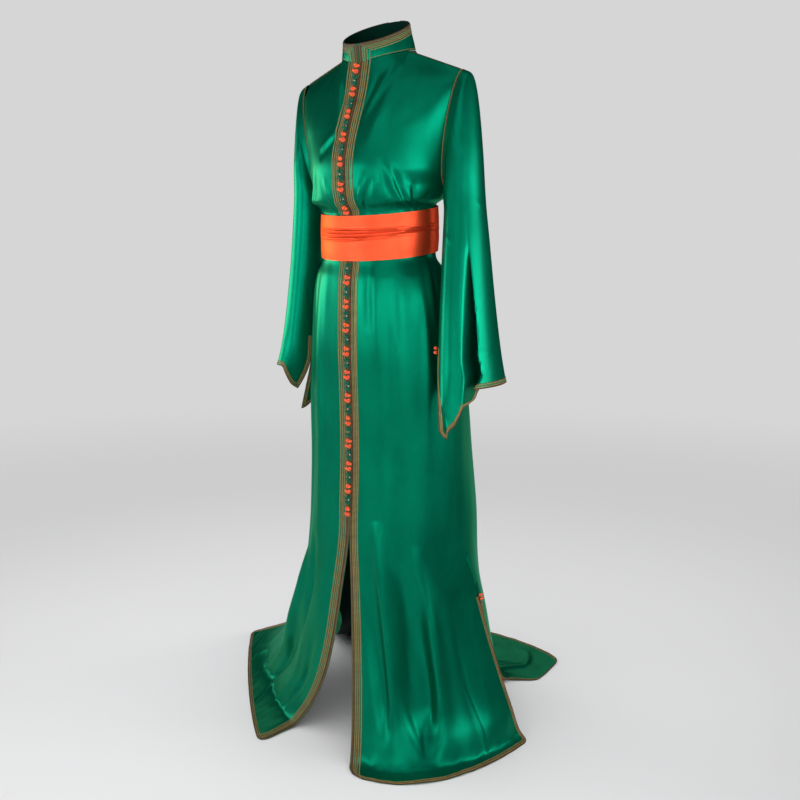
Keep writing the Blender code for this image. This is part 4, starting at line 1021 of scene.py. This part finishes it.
# The slit of each cuff: its angle from the outer line, how far its corners hang, swing out and swing
# forward or back, how far its front edge is turned towards the body, the angle over which all that dies
# away, and what share of the hang is left at each share of the way round from the slit.
SLEEVE_SLITS = {
    "left": {"angle": math.radians(128), "front_drop": 0.096, "back_drop": 0.090, "front_out": 0.056,
             "front_forward": 0.036, "turned": 0.023, "back_out": 0.000, "back_back": 0.030,
             "spread": math.radians(30),
             "hang": ((0.0, 0.86), (0.02, 0.94), (0.045, 0.96), (0.07, 0.93), (0.11, 0.86), (0.160, 0.74),
                      (0.190, 0.50), (0.210, 0.18), (0.230, 0.02), (0.5, 0.0))},
    "right": {"angle": math.radians(149), "front_drop": 0.055, "back_drop": 0.100, "front_out": 0.030,
              "front_forward": 0.0, "turned": 0.0, "back_out": 0.022, "back_back": 0.002,
              "spread": math.radians(38),
              "hang": ((0.0, 1.0), (0.04, 0.80), (0.08, 0.45), (0.12, 0.12), (0.15, 0.02), (0.5, 0.0))},
}
SLEEVE_SLIT_DOWN = 0.440
SLEEVE_LAST_DOWN = 0.505
SLEEVE_HANG = {"start": 0.30, "spread": math.radians(42), "ease": 1.3}
# The deep fold that runs down each sleeve to the cuff, as (down, share round the sleeve, half its width,
# depth). The cloth sinks in at an angle, towards, from straight back, so that one lip of the fold lies
# over it. soft is how gently it bends at the lips nearer to the slit and further from it.
SLEEVE_FOLDS = {
    "left": {"towards": math.radians(14), "soft": (0.0020, 0.0011), "rows": (
        (0.180, 0.205, 0.0010, 0.000), (0.240, 0.206, 0.0022, 0.003), (0.290, 0.206, 0.0050, 0.018),
        (0.350, 0.208, 0.0092, 0.044), (0.410, 0.214, 0.0145, 0.062), (0.460, 0.221, 0.0180, 0.070),
        (0.505, 0.226, 0.0190, 0.074))},
    "right": {"towards": math.radians(-10), "soft": (0.0060, 0.0060), "rows": (
        (0.060, 0.170, 0.0010, 0.000), (0.200, 0.165, 0.0060, 0.002), (0.505, 0.160, 0.0100, 0.007))},
}
SLEEVE_ROW_COUNT = 140
SLEEVE_COLUMN_COUNT = 136
SEAM_STEP = 0.0011           # the sleeve head stands this far out of the armhole
SLEEVE_CREASES = {
    "left": (
        (0.006, 0.180, 0.090, 0.240, 0.010, 0.0018),
        (0.205, 0.052, 0.230, 0.110, 0.003, 0.0007),
        (0.436, 0.270, 0.442, 0.400, 0.0022, 0.0008),
        (0.160, 0.290, 0.172, 0.360, 0.0025, 0.0006),
        (0.100, 0.600, 0.400, 0.620, 0.014, -0.0030),
        (0.200, 0.700, 0.490, 0.720, 0.012, 0.0030),
    ),
    "right": (
        (0.006, 0.200, 0.100, 0.240, 0.010, 0.0018),
        (0.180, 0.340, 0.480, 0.360, 0.014, -0.0030),
        (0.220, 0.480, 0.480, 0.470, 0.014, 0.0030),
        (0.100, 0.620, 0.420, 0.640, 0.013, -0.0030),
    ),
}
CUFF_ROWS = (
    (0.0013, 0.0026, 0.0012, RUST),
    (0.0038, 0.0020, 0.0011, GOLD),
    (0.0060, 0.0018, 0.0008, GREEN),
    (0.0082, 0.0022, 0.0012, GOLD),
    (0.0104, 0.0016, 0.0008, OLIVE),
)
ROWS_ABOVE_SLIT = 10         # the gimp starts this many of the grid's rows above the slit
FOLD_CROWD = 5.0             # how much closer the columns lie at the deep fold
FOLD_CROWD_WIDTH = 0.055
LIP_SPREAD = math.radians(10)
LIP_INWARD = 0.8             # shares of the slit's turned edge that go towards the body and forward
LIP_FORWARD = 0.6
HEAD_FADE = 0.012
SLEEVE_SWELL = (0.14, 0.60, 0.0004)
SLEEVE_SEEDS = {"left": 51, "right": 67}


def sleeve_turns(fold):
    """Angles of a sleeve's columns from its slit, lying closer together at the deep fold."""
    share = np.linspace(0, 1, 2001)
    middle = (fold["rows"][-1][1] + fold["rows"][-3][1]) / 2
    crowd = np.cumsum(1 + FOLD_CROWD * np.exp(-((share - middle) / FOLD_CROWD_WIDTH) ** 4))
    crowd = (crowd - crowd[0]) / (crowd[-1] - crowd[0])
    return 2 * math.pi * np.interp(np.linspace(0, 1, SLEEVE_COLUMN_COUNT), crowd, share)


def sleeve_grid(side, name):
    """Grid of one sleeve: from the slit line round over the front, outer and back lines."""
    columns = table(SLEEVE_COLUMNS, SLEEVE_RINGS[name])
    slit, fold, hang = SLEEVE_SLITS[name], SLEEVE_FOLDS[name], SLEEVE_HANG
    from_start = sleeve_turns(fold)
    angles = slit["angle"] - from_start
    knots = np.concatenate([[0.0], columns["down"]])
    curves = [np.array([armhole_point(side, angle) for angle in angles])]
    for i in range(len(knots) - 1):
        curves.append(np.column_stack([
            columns["x"][i] + side * columns["half_x"][i] * np.cos(angles),
            columns["y"][i] - columns["half_y"][i] * np.sin(angles),
            columns["height"][i] + columns["half_height"][i] * np.cos(angles)]))
    downs = np.linspace(0, SLEEVE_LAST_DOWN, SLEEVE_ROW_COUNT)
    points = smooth_along(knots, np.array(curves), downs)
    down = downs[:, None]

    from_slit = np.minimum(from_start, 2 * math.pi - from_start)[None, :]
    front_edge = (from_start < math.pi)[None, :]
    lengthening = np.clip((down - hang["start"]) / (downs[-1] - hang["start"]), 0, 1) ** 2
    parting = np.clip((down - SLEEVE_SLIT_DOWN) / (downs[-1] - SLEEVE_SLIT_DOWN), 0, 1) ** hang["ease"]
    common = (slit["front_drop"] + slit["back_drop"]) / 2
    drop = common + (np.where(front_edge, slit["front_drop"], slit["back_drop"]) - common) * parting
    shares, parts = zip(*slit["hang"])
    hanging = np.where(front_edge[0], np.interp(from_start / (2 * math.pi), shares, parts),
                       parts[0] * np.exp(-(from_slit[0] / hang["spread"]) ** 2))
    points[:, :, 2] -= drop * lengthening * hanging[None, :]
    near_slit = parting * np.exp(-(from_slit / slit["spread"]) ** 2)
    points[:, :, 0] += side * near_slit * np.where(front_edge, slit["front_out"], slit["back_out"])
    points[:, :, 1] += near_slit * np.where(front_edge, -slit["front_forward"], slit["back_back"])
    lip = slit["turned"] * parting * front_edge * np.exp(-from_slit / LIP_SPREAD)
    points[:, :, 0] -= side * LIP_INWARD * lip
    points[:, :, 1] -= LIP_FORWARD * lip
    points[:, :, 0] += side * SEAM_STEP * np.exp(-down / HEAD_FADE)

    across, down_places = panel_places(points, downs)
    rows = np.array(fold["rows"])
    centre, half, depth = (np.interp(downs, rows[:, 0], rows[:, k])[:, None] for k in (1, 2, 3))
    off = across - centre * across[:, -1:]
    sunk = depth / (1 + np.exp(np.clip((-off - half) / fold["soft"][0], -40, 40)))
    sunk /= 1 + np.exp(np.clip((off - half) / fold["soft"][1], -40, 40))
    folded = points.copy()
    folded[:, :, 0] -= side * math.sin(fold["towards"]) * sunk
    folded[:, :, 1] += math.cos(fold["towards"]) * sunk
    push = crease_push(across, down_places, SLEEVE_CREASES[name])
    push += swell(across, down_places, SLEEVE_SEEDS[name], *SLEEVE_SWELL)
    push *= np.clip(down / 0.05, 0, 1) * np.clip(from_slit / 0.30, 0, 1)
    points = folded + sleeve_normals(points, side, downs) * push[:, :, None]
    return (points, sleeve_normals(points, side, downs), (across, down_places)), downs


def ring_normals(points, outward):
    """Normals of a grid whose rows close on themselves."""
    around = np.concatenate([points[:, -2:-1], points, points[:, 1:2]], axis=1)
    return surface_normals(around, outward)[:, 1:-1]


def sleeve_normals(points, side, downs):
    """Outward normals of a sleeve, which closes on itself above its slit."""
    normals = ring_normals(points, -side)
    below = downs > SLEEVE_SLIT_DOWN
    normals[below] = surface_normals(points, -side)[below]
    return normals


sleeves = {}
for name, side in (("left", 1), ("right", -1)):
    grid, downs = sleeve_grid(side, name)
    points, normals, (across, down) = grid
    closed_rows = int(np.count_nonzero(downs <= SLEEVE_SLIT_DOWN))
    cloth = cloth_piece("sleeve_" + name, grid, -side, satin_sides, joined=closed_rows)
    mirrored = (points[:, ::-1], normals[:, ::-1], (across[:, -1:] - across[:, ::-1], down))
    top_row = closed_rows - ROWS_ABOVE_SLIT
    rows = []
    for started, other in zip(rows_along(grid, CUFF_ROWS, "start hem", top=top_row),
                              rows_along(mirrored, CUFF_ROWS, "start", top=top_row)):
        rows += [started, (other[0][:-2], *other[1:])]
    braid = sewn_braid("gimp_sleeve_" + name, "braid_sleeve_" + name, rows)
    sleeves[name] = {"grid": grid, "closed_rows": closed_rows}

# ---- Collar ---------------------------------------------------------------------------------------
# A stiffened stand collar in the same satin, cut in one and sewn into the neck seam. The rows of the
# front bands run on up its front edges, turn the corner, and go round its upper half.
COLLAR_BASE = {"half_x": 0.0775, "front_y": -0.0645, "back_y": 0.0710}
COLLAR_TOP = {"half_x": 0.0690, "front_y": -0.0690, "back_y": 0.0560, "height": 1.4670, "rise": 0.49}
COLLAR_ROW_COUNT = 18
COLLAR_COLUMN_COUNT = 180
COLLAR_LIFT = 0.0010
COLLAR_TOP_SHARE = 0.62      # the rows lie closer together along the collar than up its front edges
COLLAR_ROW_WIDTHS = (0.70, 1.10, 1.10, 1.10)   # for gold, olive, rust and green thread
COLLAR_EDGE = 0.003          # the row along the very edge is rust here
COLLAR_LINES = (
    (0.0014, 0.0010, 0.0014, GREEN),
    (0.0047, 0.0016, 0.0017, GOLD),
    (0.0084, 0.0010, 0.0016, GREEN),
)
COLLAR_THICKNESS = 0.0015
COLLAR_UP = 0.045
COLLAR_PUCKERS = 0.0004      # the seam pulls the collar in by this much
PUCKER_STEP = 0.009
PUCKER_UP = 0.012
PUCKER_SPREAD = 0.010


def collar_points():
    """Grid of the collar from its base up, from the left front edge round behind the neck."""
    left = top_edge(1, True)[:int(round(NECK_SHARE * (DENSE - 1))) + 1]
    right = top_edge(-1, True)[:len(left)]
    back = top_edge(1, False)[:len(left)]
    back_right = top_edge(-1, False)[:len(left)]
    base = np.vstack([left, back[-2::-1], back_right[1:], right[-2::-1]])
    base = evenly_spaced(base, COLLAR_COLUMN_COUNT)
    base[:, 2] += COLLAR_LIFT
    middles = [(oval["front_y"] + oval["back_y"]) / 2 for oval in (COLLAR_BASE, COLLAR_TOP)]
    reaches = [(oval["back_y"] - oval["front_y"]) / 2 for oval in (COLLAR_BASE, COLLAR_TOP)]
    turn = np.arctan2(base[:, 0] / COLLAR_BASE["half_x"], (middles[0] - base[:, 1]) / reaches[0])
    top_y = middles[1] - reaches[1] * np.cos(turn)
    top = np.column_stack([COLLAR_TOP["half_x"] * np.sin(turn), top_y,
                           COLLAR_TOP["height"] + COLLAR_TOP["rise"] * (top_y - COLLAR_TOP["front_y"])])
    return base + (top - base) * np.linspace(0, 1, COLLAR_ROW_COUNT)[:, None, None]


points = collar_points()
across, up = panel_places(points, np.linspace(0, COLLAR_UP, COLLAR_ROW_COUNT))
wave = 2 * math.pi * across / PUCKER_STEP + 2.0 * np.sin(across * 70)
pucker = COLLAR_PUCKERS * (0.5 + 0.5 * np.cos(wave))
pucker = pucker * np.exp(-((up - PUCKER_UP) / PUCKER_SPREAD) ** 2)
points = points + surface_normals(points, 1) * pucker[:, :, None]
collar_grid = (points, surface_normals(points, 1), (across, up))
cloth_collar = cloth_piece("collar", collar_grid, 1, satin_sides,
                           thickness=COLLAR_THICKNESS)
collar_mirrored = (points[:, ::-1], collar_grid[1][:, ::-1], (across, up))
rows = []
for distance, width, height, kind in FRONT_ROWS + COLLAR_LINES:
    distances = (distance, distance * COLLAR_TOP_SHARE)
    if kind == OLIVE and distance < COLLAR_EDGE:
        kind = RUST
    from_left = edge_line(collar_grid, distances, "start hem")
    from_right = edge_line(collar_mirrored, distances, "start hem")
    half = int(len(from_left) * 0.5) + 1
    width *= COLLAR_ROW_WIDTHS[kind]
    rows += [(from_left[:half], width, height, kind), (from_right[:half], width, height, kind)]
gimp_collar = sewn_braid("gimp_collar", "braid_collar", rows)

# ---- Pipings --------------------------------------------------------------------------------------
# Twisted gold cord laid in the seams of the neck, shoulders and armholes. Beside it in the shoulders and
# armholes runs a rust cord.
PIPING_WIDTH = 0.0011
PIPING_HEIGHT = 0.0010
RUST_PIPING_HEIGHT = 0.0009
COLLAR_PIPING_HEIGHT = 0.0014
PIPINGS_APART = 0.0022
BAND_COLUMNS = 11            # columns of the collar's grid that lie under the front bands
COLLAR_PIPING_STEPS = 160
SHOULDER_PIPING_STEPS = 48


def along_row(grid, row, first, last):
    """Points and normals of part of one row of a grid."""
    return np.concatenate([grid[0][row, first:last], grid[1][row, first:last]], axis=1)


def cord_pair(gold, rust):
    """A gold cord and the rust cord beside it."""
    return [(gold, PIPING_WIDTH, PIPING_HEIGHT, GOLD), (rust, PIPING_WIDTH, RUST_PIPING_HEIGHT, RUST)]


line = evenly_spaced(along_row(collar_grid, 1, BAND_COLUMNS, -BAND_COLUMNS), COLLAR_PIPING_STEPS)
sewn_braid("cord_collar", "piping_collar", [(line, PIPING_WIDTH, COLLAR_PIPING_HEIGHT, GOLD)])
neck_column = int(round(NECK_SHARE * (FRONT_COLUMNS - 1)))
for name in ("left", "right"):
    gold = evenly_spaced(along_row(fronts[name]["grid"], 0, neck_column + 1, FRONT_COLUMNS - 1),
                         SHOULDER_PIPING_STEPS)
    rust = gold.copy()
    rust[:, 1] -= PIPINGS_APART
    sewn_braid("cord_shoulder_" + name, "piping_shoulder_" + name, cord_pair(gold, rust))
    gold, rust = [along_row(sleeves[name]["grid"], row, None, -1) for row in (1, 2)]
    sewn_braid("cord_armhole_" + name, "piping_armhole_" + name, cord_pair(gold, rust), closed=True)

# ---- Sash -----------------------------------------------------------------------------------------
# A stiffened band of coral satin wound round the waist, with its end hidden at the back. It is pulled
# into a few fine level pleats.
SASH_OVAL = {"half_x": 0.1324, "middle_y": 0.006, "front_y": -0.1016, "back_y": 0.0929,
             "front_height": 1.0375, "rise": 0.15, "bulge": 0.012}
SASH_HEIGHT = 0.090
SASH_THICKNESS = 0.0020
SASH_ROW_COUNT = 60
SASH_COLUMN_COUNT = 190
SASH_SWELL = (0.25, 0.05, 0.0004)
SASH_SEED = 83
# Pleats, as in the creases: down is metres above the lower edge, across a share of the way round. A pleat
# that goes past 1 runs on over the start of the ring.
SASH_PLEATS = (
    (0.064, 0.815, 0.060, 1.270, 0.0017, -0.0011),
    (0.060, 0.830, 0.057, 1.275, 0.0016, 0.0010),
    (0.056, 0.812, 0.055, 1.280, 0.0017, -0.0013),
    (0.052, 0.840, 0.053, 1.270, 0.0016, 0.0010),
    (0.047, 0.816, 0.051, 1.265, 0.0018, -0.0012),
    (0.043, 0.850, 0.049, 1.255, 0.0016, 0.0009),
    (0.038, 0.830, 0.047, 1.240, 0.0018, -0.0010),
    (0.058, 1.140, 0.054, 1.290, 0.0022, -0.0018),
    (0.051, 1.150, 0.049, 1.290, 0.0022, -0.0016),
    (0.062, 1.160, 0.057, 1.285, 0.0020, 0.0014),
    (0.036, 0.300, 0.044, 0.560, 0.0026, -0.0015),
    (0.046, 0.280, 0.050, 0.600, 0.0022, 0.0012),
    (0.056, 0.310, 0.055, 0.640, 0.0024, -0.0014),
    (0.050, 0.560, 0.058, 0.800, 0.0024, -0.0013),
    (0.040, 0.600, 0.048, 0.810, 0.0026, 0.0011),
)


def sash_points():
    """Grid of the sash from its lower edge up: a closed ring that dips a little at the front."""
    turn = np.linspace(0, 2 * math.pi, SASH_COLUMN_COUNT)
    oval = SASH_OVAL
    reaches = oval["middle_y"] - oval["front_y"], oval["back_y"] - oval["middle_y"]
    reach = np.where(np.cos(turn) > 0, *reaches)
    x = oval["half_x"] * np.sin(turn)
    y = oval["middle_y"] - reach * np.cos(turn)
    low = oval["front_height"] + oval["rise"] * (y - oval["front_y"])
    shares = np.linspace(0, 1, SASH_ROW_COUNT)
    return np.array([np.column_stack([x * swell_out, y * swell_out, low + SASH_HEIGHT * share])
                     for share, swell_out in zip(shares, 1 + oval["bulge"] * np.sin(math.pi * shares))])


coral_face = satin("coral_satin_face", (0.95, 0.105, 0.038, 1.0), (0.86, 0.075, 0.026, 1.0), 0.42, 0.82,
                   (1.0, 0.5, 0.3, 1.0))
coral_reverse = satin("coral_satin_reverse", (0.55, 0.06, 0.025, 1.0), (0.45, 0.05, 0.02, 1.0), 0.65, 0.0,
                      (1.0, 0.5, 0.3, 1.0))
points = sash_points()
across, up = panel_places(points, np.linspace(0, SASH_HEIGHT, SASH_ROW_COUNT))
second_turn = [(low, start / 2, high, end / 2, width, height)
               for low, start, high, end, width, height in SASH_PLEATS]
push = crease_push(across, up, SASH_PLEATS) + crease_push(across + across[:, -1:], up, second_turn)
push += swell(across, up, SASH_SEED, *SASH_SWELL) * np.sin(math.pi * up / SASH_HEIGHT)
push *= np.clip(np.minimum(across, across[:, -1:] - across) / 0.0001, 0, 1)
push[:, -1] = push[:, 0] = (push[:, 1] + push[:, -2]) / 2
points = points + ring_normals(points, 1) * push[:, :, None]
sash_grid = (points, ring_normals(points, 1), (across, up))
cloth_sash = cloth_piece("sash", sash_grid, 1, [coral_face, coral_reverse],
                         thickness=SASH_THICKNESS, joined=SASH_ROW_COUNT)

# ---- Knots ----------------------------------------------------------------------------------------
# Passementerie knots close the fronts from the neck to the slit, each with the loop that holds it. Both
# are wound in silk cord over a small core, and they are sewn on in pairs, two orange and then two green.
KNOT_WIRE = 0.00090          # radius of the silk cord
KNOT_LEADS, KNOT_BIGHTS = 4, 5
# The parts of a pair, a knot and its loop twice over: places as (x, y, z, reach, tilt, steps of the
# cord), with -y facing out.
KNOT_PARTS = (
    (-0.0014, 0.0, -0.0059, 0.0047, 0.9, 100),
    (0.0044, 0.0013, -0.0048, 0.0033, -0.6, 70),
    (0.0012, 0.0, 0.0059, 0.0047, -0.8, 100),
    (-0.0046, 0.0013, 0.0050, 0.0032, 0.7, 70),
)
KNOT_WIRE_SIDES = 5
KNOT_WIRE_TURN = 0.0009      # metres of cord between its rings, for the pattern of its turns
KNOT_RISE = math.radians(72)
CORE_INSET = 1.9 * KNOT_WIRE
GLASS_PLACE = (0.0012, -0.002976, 0.0)
GLASS_REACH = 0.0016
KNOT_TURN = 0.5              # the most that a pair is turned about its own line, in radians


def knot_ball(middle, reach, tilt, steps):
    """A cord that runs round a ball over and under itself, tilted to either side."""
    t = np.linspace(0, 2 * math.pi, steps, endpoint=False)
    round_turn = KNOT_LEADS * t
    rise = KNOT_RISE * np.sin(KNOT_BIGHTS * t)
    away = reach - KNOT_WIRE * 1.25 + KNOT_WIRE * 0.55 * np.cos(KNOT_BIGHTS * t * 2)
    line = np.column_stack([away * np.cos(rise) * np.cos(round_turn),
                            away * np.cos(rise) * np.sin(round_turn), away * np.sin(rise)])
    line = line @ np.array(Matrix.Rotation(tilt, 3, "Y")).T
    ahead = np.roll(line, -1, axis=0) - np.roll(line, 1, axis=0)
    ahead /= np.linalg.norm(ahead, axis=1, keepdims=True)
    out = line / np.linalg.norm(line, axis=1, keepdims=True)
    sideways = np.cross(ahead, out)
    turn = np.arange(KNOT_WIRE_SIDES) * 2 * math.pi / KNOT_WIRE_SIDES
    rings = (line[:, None] + KNOT_WIRE * (sideways[:, None] * np.cos(turn)[None, :, None]
                                          + out[:, None] * np.sin(turn)[None, :, None]))
    verts = (rings.reshape(-1, 3) + middle).tolist()
    faces, places = [], []
    for i in range(steps):
        after = (i + 1) % steps
        for k in range(KNOT_WIRE_SIDES):
            m = (k + 1) % KNOT_WIRE_SIDES
            faces.append([i * KNOT_WIRE_SIDES + k, after * KNOT_WIRE_SIDES + k,
                          after * KNOT_WIRE_SIDES + m, i * KNOT_WIRE_SIDES + m])
            places += [(a * KNOT_WIRE_TURN, b / KNOT_WIRE_SIDES)
                       for a, b in ((i, k), (i + 1, k), (i + 1, k + 1), (i, k + 1))]
    return verts, faces, places


def ball(middle, reach, rings=6, sides=10):
    """A small plain ball."""
    verts = [(middle[0], middle[1], middle[2] - reach)]
    for i in range(1, rings):
        rise = -math.pi / 2 + math.pi * i / rings
        verts += [(middle[0] + reach * math.cos(rise) * math.cos(2 * math.pi * k / sides),
                   middle[1] + reach * math.cos(rise) * math.sin(2 * math.pi * k / sides),
                   middle[2] + reach * math.sin(rise)) for k in range(sides)]
    verts.append((middle[0], middle[1], middle[2] + reach))
    faces = [[0, 1 + (k + 1) % sides, 1 + k] for k in range(sides)]
    for i in range(rings - 2):
        low, high = 1 + i * sides, 1 + (i + 1) * sides
        faces += [[low + k, low + (k + 1) % sides, high + (k + 1) % sides, high + k] for k in range(sides)]
    last = len(verts) - 1
    faces += [[last, last - sides + k, last - sides + (k + 1) % sides] for k in range(sides)]
    return verts, faces, [(0.0, 0.0)] * sum(len(face) for face in faces)


def knot_pair_mesh(name, silk, core, bead=None, scale=1.0):
    """Mesh of a pair about its own middle: two knots and their loops, with a glass bead where given."""
    parts = []
    for x, y, z, reach, tilt, steps in KNOT_PARTS:
        parts.append((knot_ball((x, y, z), reach, tilt, steps), 0))
        parts.append((ball((x, y, z), reach - CORE_INSET), 1))
    if bead is not None:
        parts.append((ball(GLASS_PLACE, GLASS_REACH), 2))
    verts, faces, kinds, places = [], [], [], []
    for (part_verts, part_faces, part_places), kind in parts:
        base = len(verts)
        verts += [(x * scale, y * scale, z * scale) for x, y, z in part_verts]
        faces += [[base + k for k in face] for face in part_faces]
        kinds += [kind] * len(part_faces)
        places += part_places
    surfaces = [surface for surface in (silk, core, bead) if surface is not None]
    mesh = new_mesh(name, verts, faces, surfaces, kinds, places)
    mesh.shade_smooth()
    return mesh


def lay_on(name, node_name, mesh, along, outward, turned=0.0):
    """Put a knot or bead where its solid is, turned to lie along a line and face outward."""
    low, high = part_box(node_name)
    up = Vector(along).normalized()
    side = up.cross(-Vector(outward)).normalized()
    back = up.cross(side).normalized() * -1.0
    turn = Matrix((side, -back, up)).transposed()
    if turn.determinant() < 0:
        turn = Matrix((-side, -back, up)).transposed()
    made = new_object(name, mesh)
    made.location = (low + high) / 2
    made.rotation_euler = (turn @ Matrix.Rotation(turned, 3, "Z")).to_euler()
    return stands_for(made, node_name)


orange_silk = gimp_thread("orange_silk", (0.98, 0.17, 0.06, 1.0), (0.70, 0.05, 0.02, 1.0), 0.0016, 0.45)
green_silk = gimp_thread("green_silk", (0.007, 0.170, 0.095, 1.0), (0.001, 0.030, 0.020, 1.0), 0.0016, 0.40)
orange_core = gimp_thread("orange_core", (0.80, 0.10, 0.035, 1.0), (0.50, 0.04, 0.015, 1.0), 0.0016, 0.7)
# The green core is darker than its silk: painted shade in the gaps between the cord's windings.
green_core_shaded = gimp_thread("green_core_shaded", (0.001, 0.030, 0.020, 1.0), (0.0005, 0.015, 0.010, 1.0), 0.0016, 0.7)
glass = gimp_thread("glass_bead", (0.75, 0.80, 0.72, 1.0), (0.45, 0.52, 0.45, 1.0), 0.0030, 0.15)
orange_pair = knot_pair_mesh("orange_pair", orange_silk, orange_core)
green_pair = knot_pair_mesh("green_pair", green_silk, green_core_shaded, glass)
left, right = fronts["left"]["grid"], fronts["right"]["grid"]
centre_line = (left[0][:UPPER_ROWS, 0] + right[0][:UPPER_ROWS, 0]) / 2
centre_facing = left[1][:UPPER_ROWS, 0] + right[1][:UPPER_ROWS, 0]
centre_facing /= np.linalg.norm(centre_facing, axis=1, keepdims=True)
draw = np.random.default_rng(5)
for node_name in sorted(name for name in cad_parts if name.startswith("knots_")):
    low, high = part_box(node_name)
    at = np.array((low + high) / 2) + (0, 0, SHOULDER_HEIGHT)
    i = int(np.clip(np.argmin(np.linalg.norm(centre_line - at, axis=1)), 2, UPPER_ROWS - 3))
    kind = "orange" if node_name.endswith("orange") else "green"
    lay_on("silk_" + node_name, node_name, orange_pair if kind == "orange" else green_pair,
           centre_line[i - 2] - centre_line[i + 2], centre_facing[i],
           draw.uniform(-KNOT_TURN, KNOT_TURN))

# ---- Beads at the slits ---------------------------------------------------------------------------
# A pair of small beads, knotted in orange silk like the knots of the fronts. One pair is sewn on the
# braid at the top of each slit, and stops the slit from tearing.
BEAD_SIZE = 0.75             # share of the size of the fronts' knots
ROWS_PAST_SLIT = 8           # the sleeve's beads sit this many of the grid's rows above its slit
slit_pair = knot_pair_mesh("slit_pair", orange_silk, orange_core, scale=BEAD_SIZE)
slit_row = top_of_slit(fronts["left"]["grid"])
for name in ("left", "right"):
    grid = fronts[name]["grid"]
    lay_on("silk_bead_side_" + name, "bead_side_slit_" + name, slit_pair,
           grid[0][slit_row - 3, -1] - grid[0][slit_row + 3, -1], grid[1][slit_row, -1])
    grid = sleeves[name]["grid"]
    row = sleeves[name]["closed_rows"] - ROWS_PAST_SLIT
    lay_on("silk_bead_sleeve_" + name, "bead_sleeve_slit_" + name, slit_pair,
           grid[0][row - 3, 0] - grid[0][row + 3, 0], grid[1][row, 0])
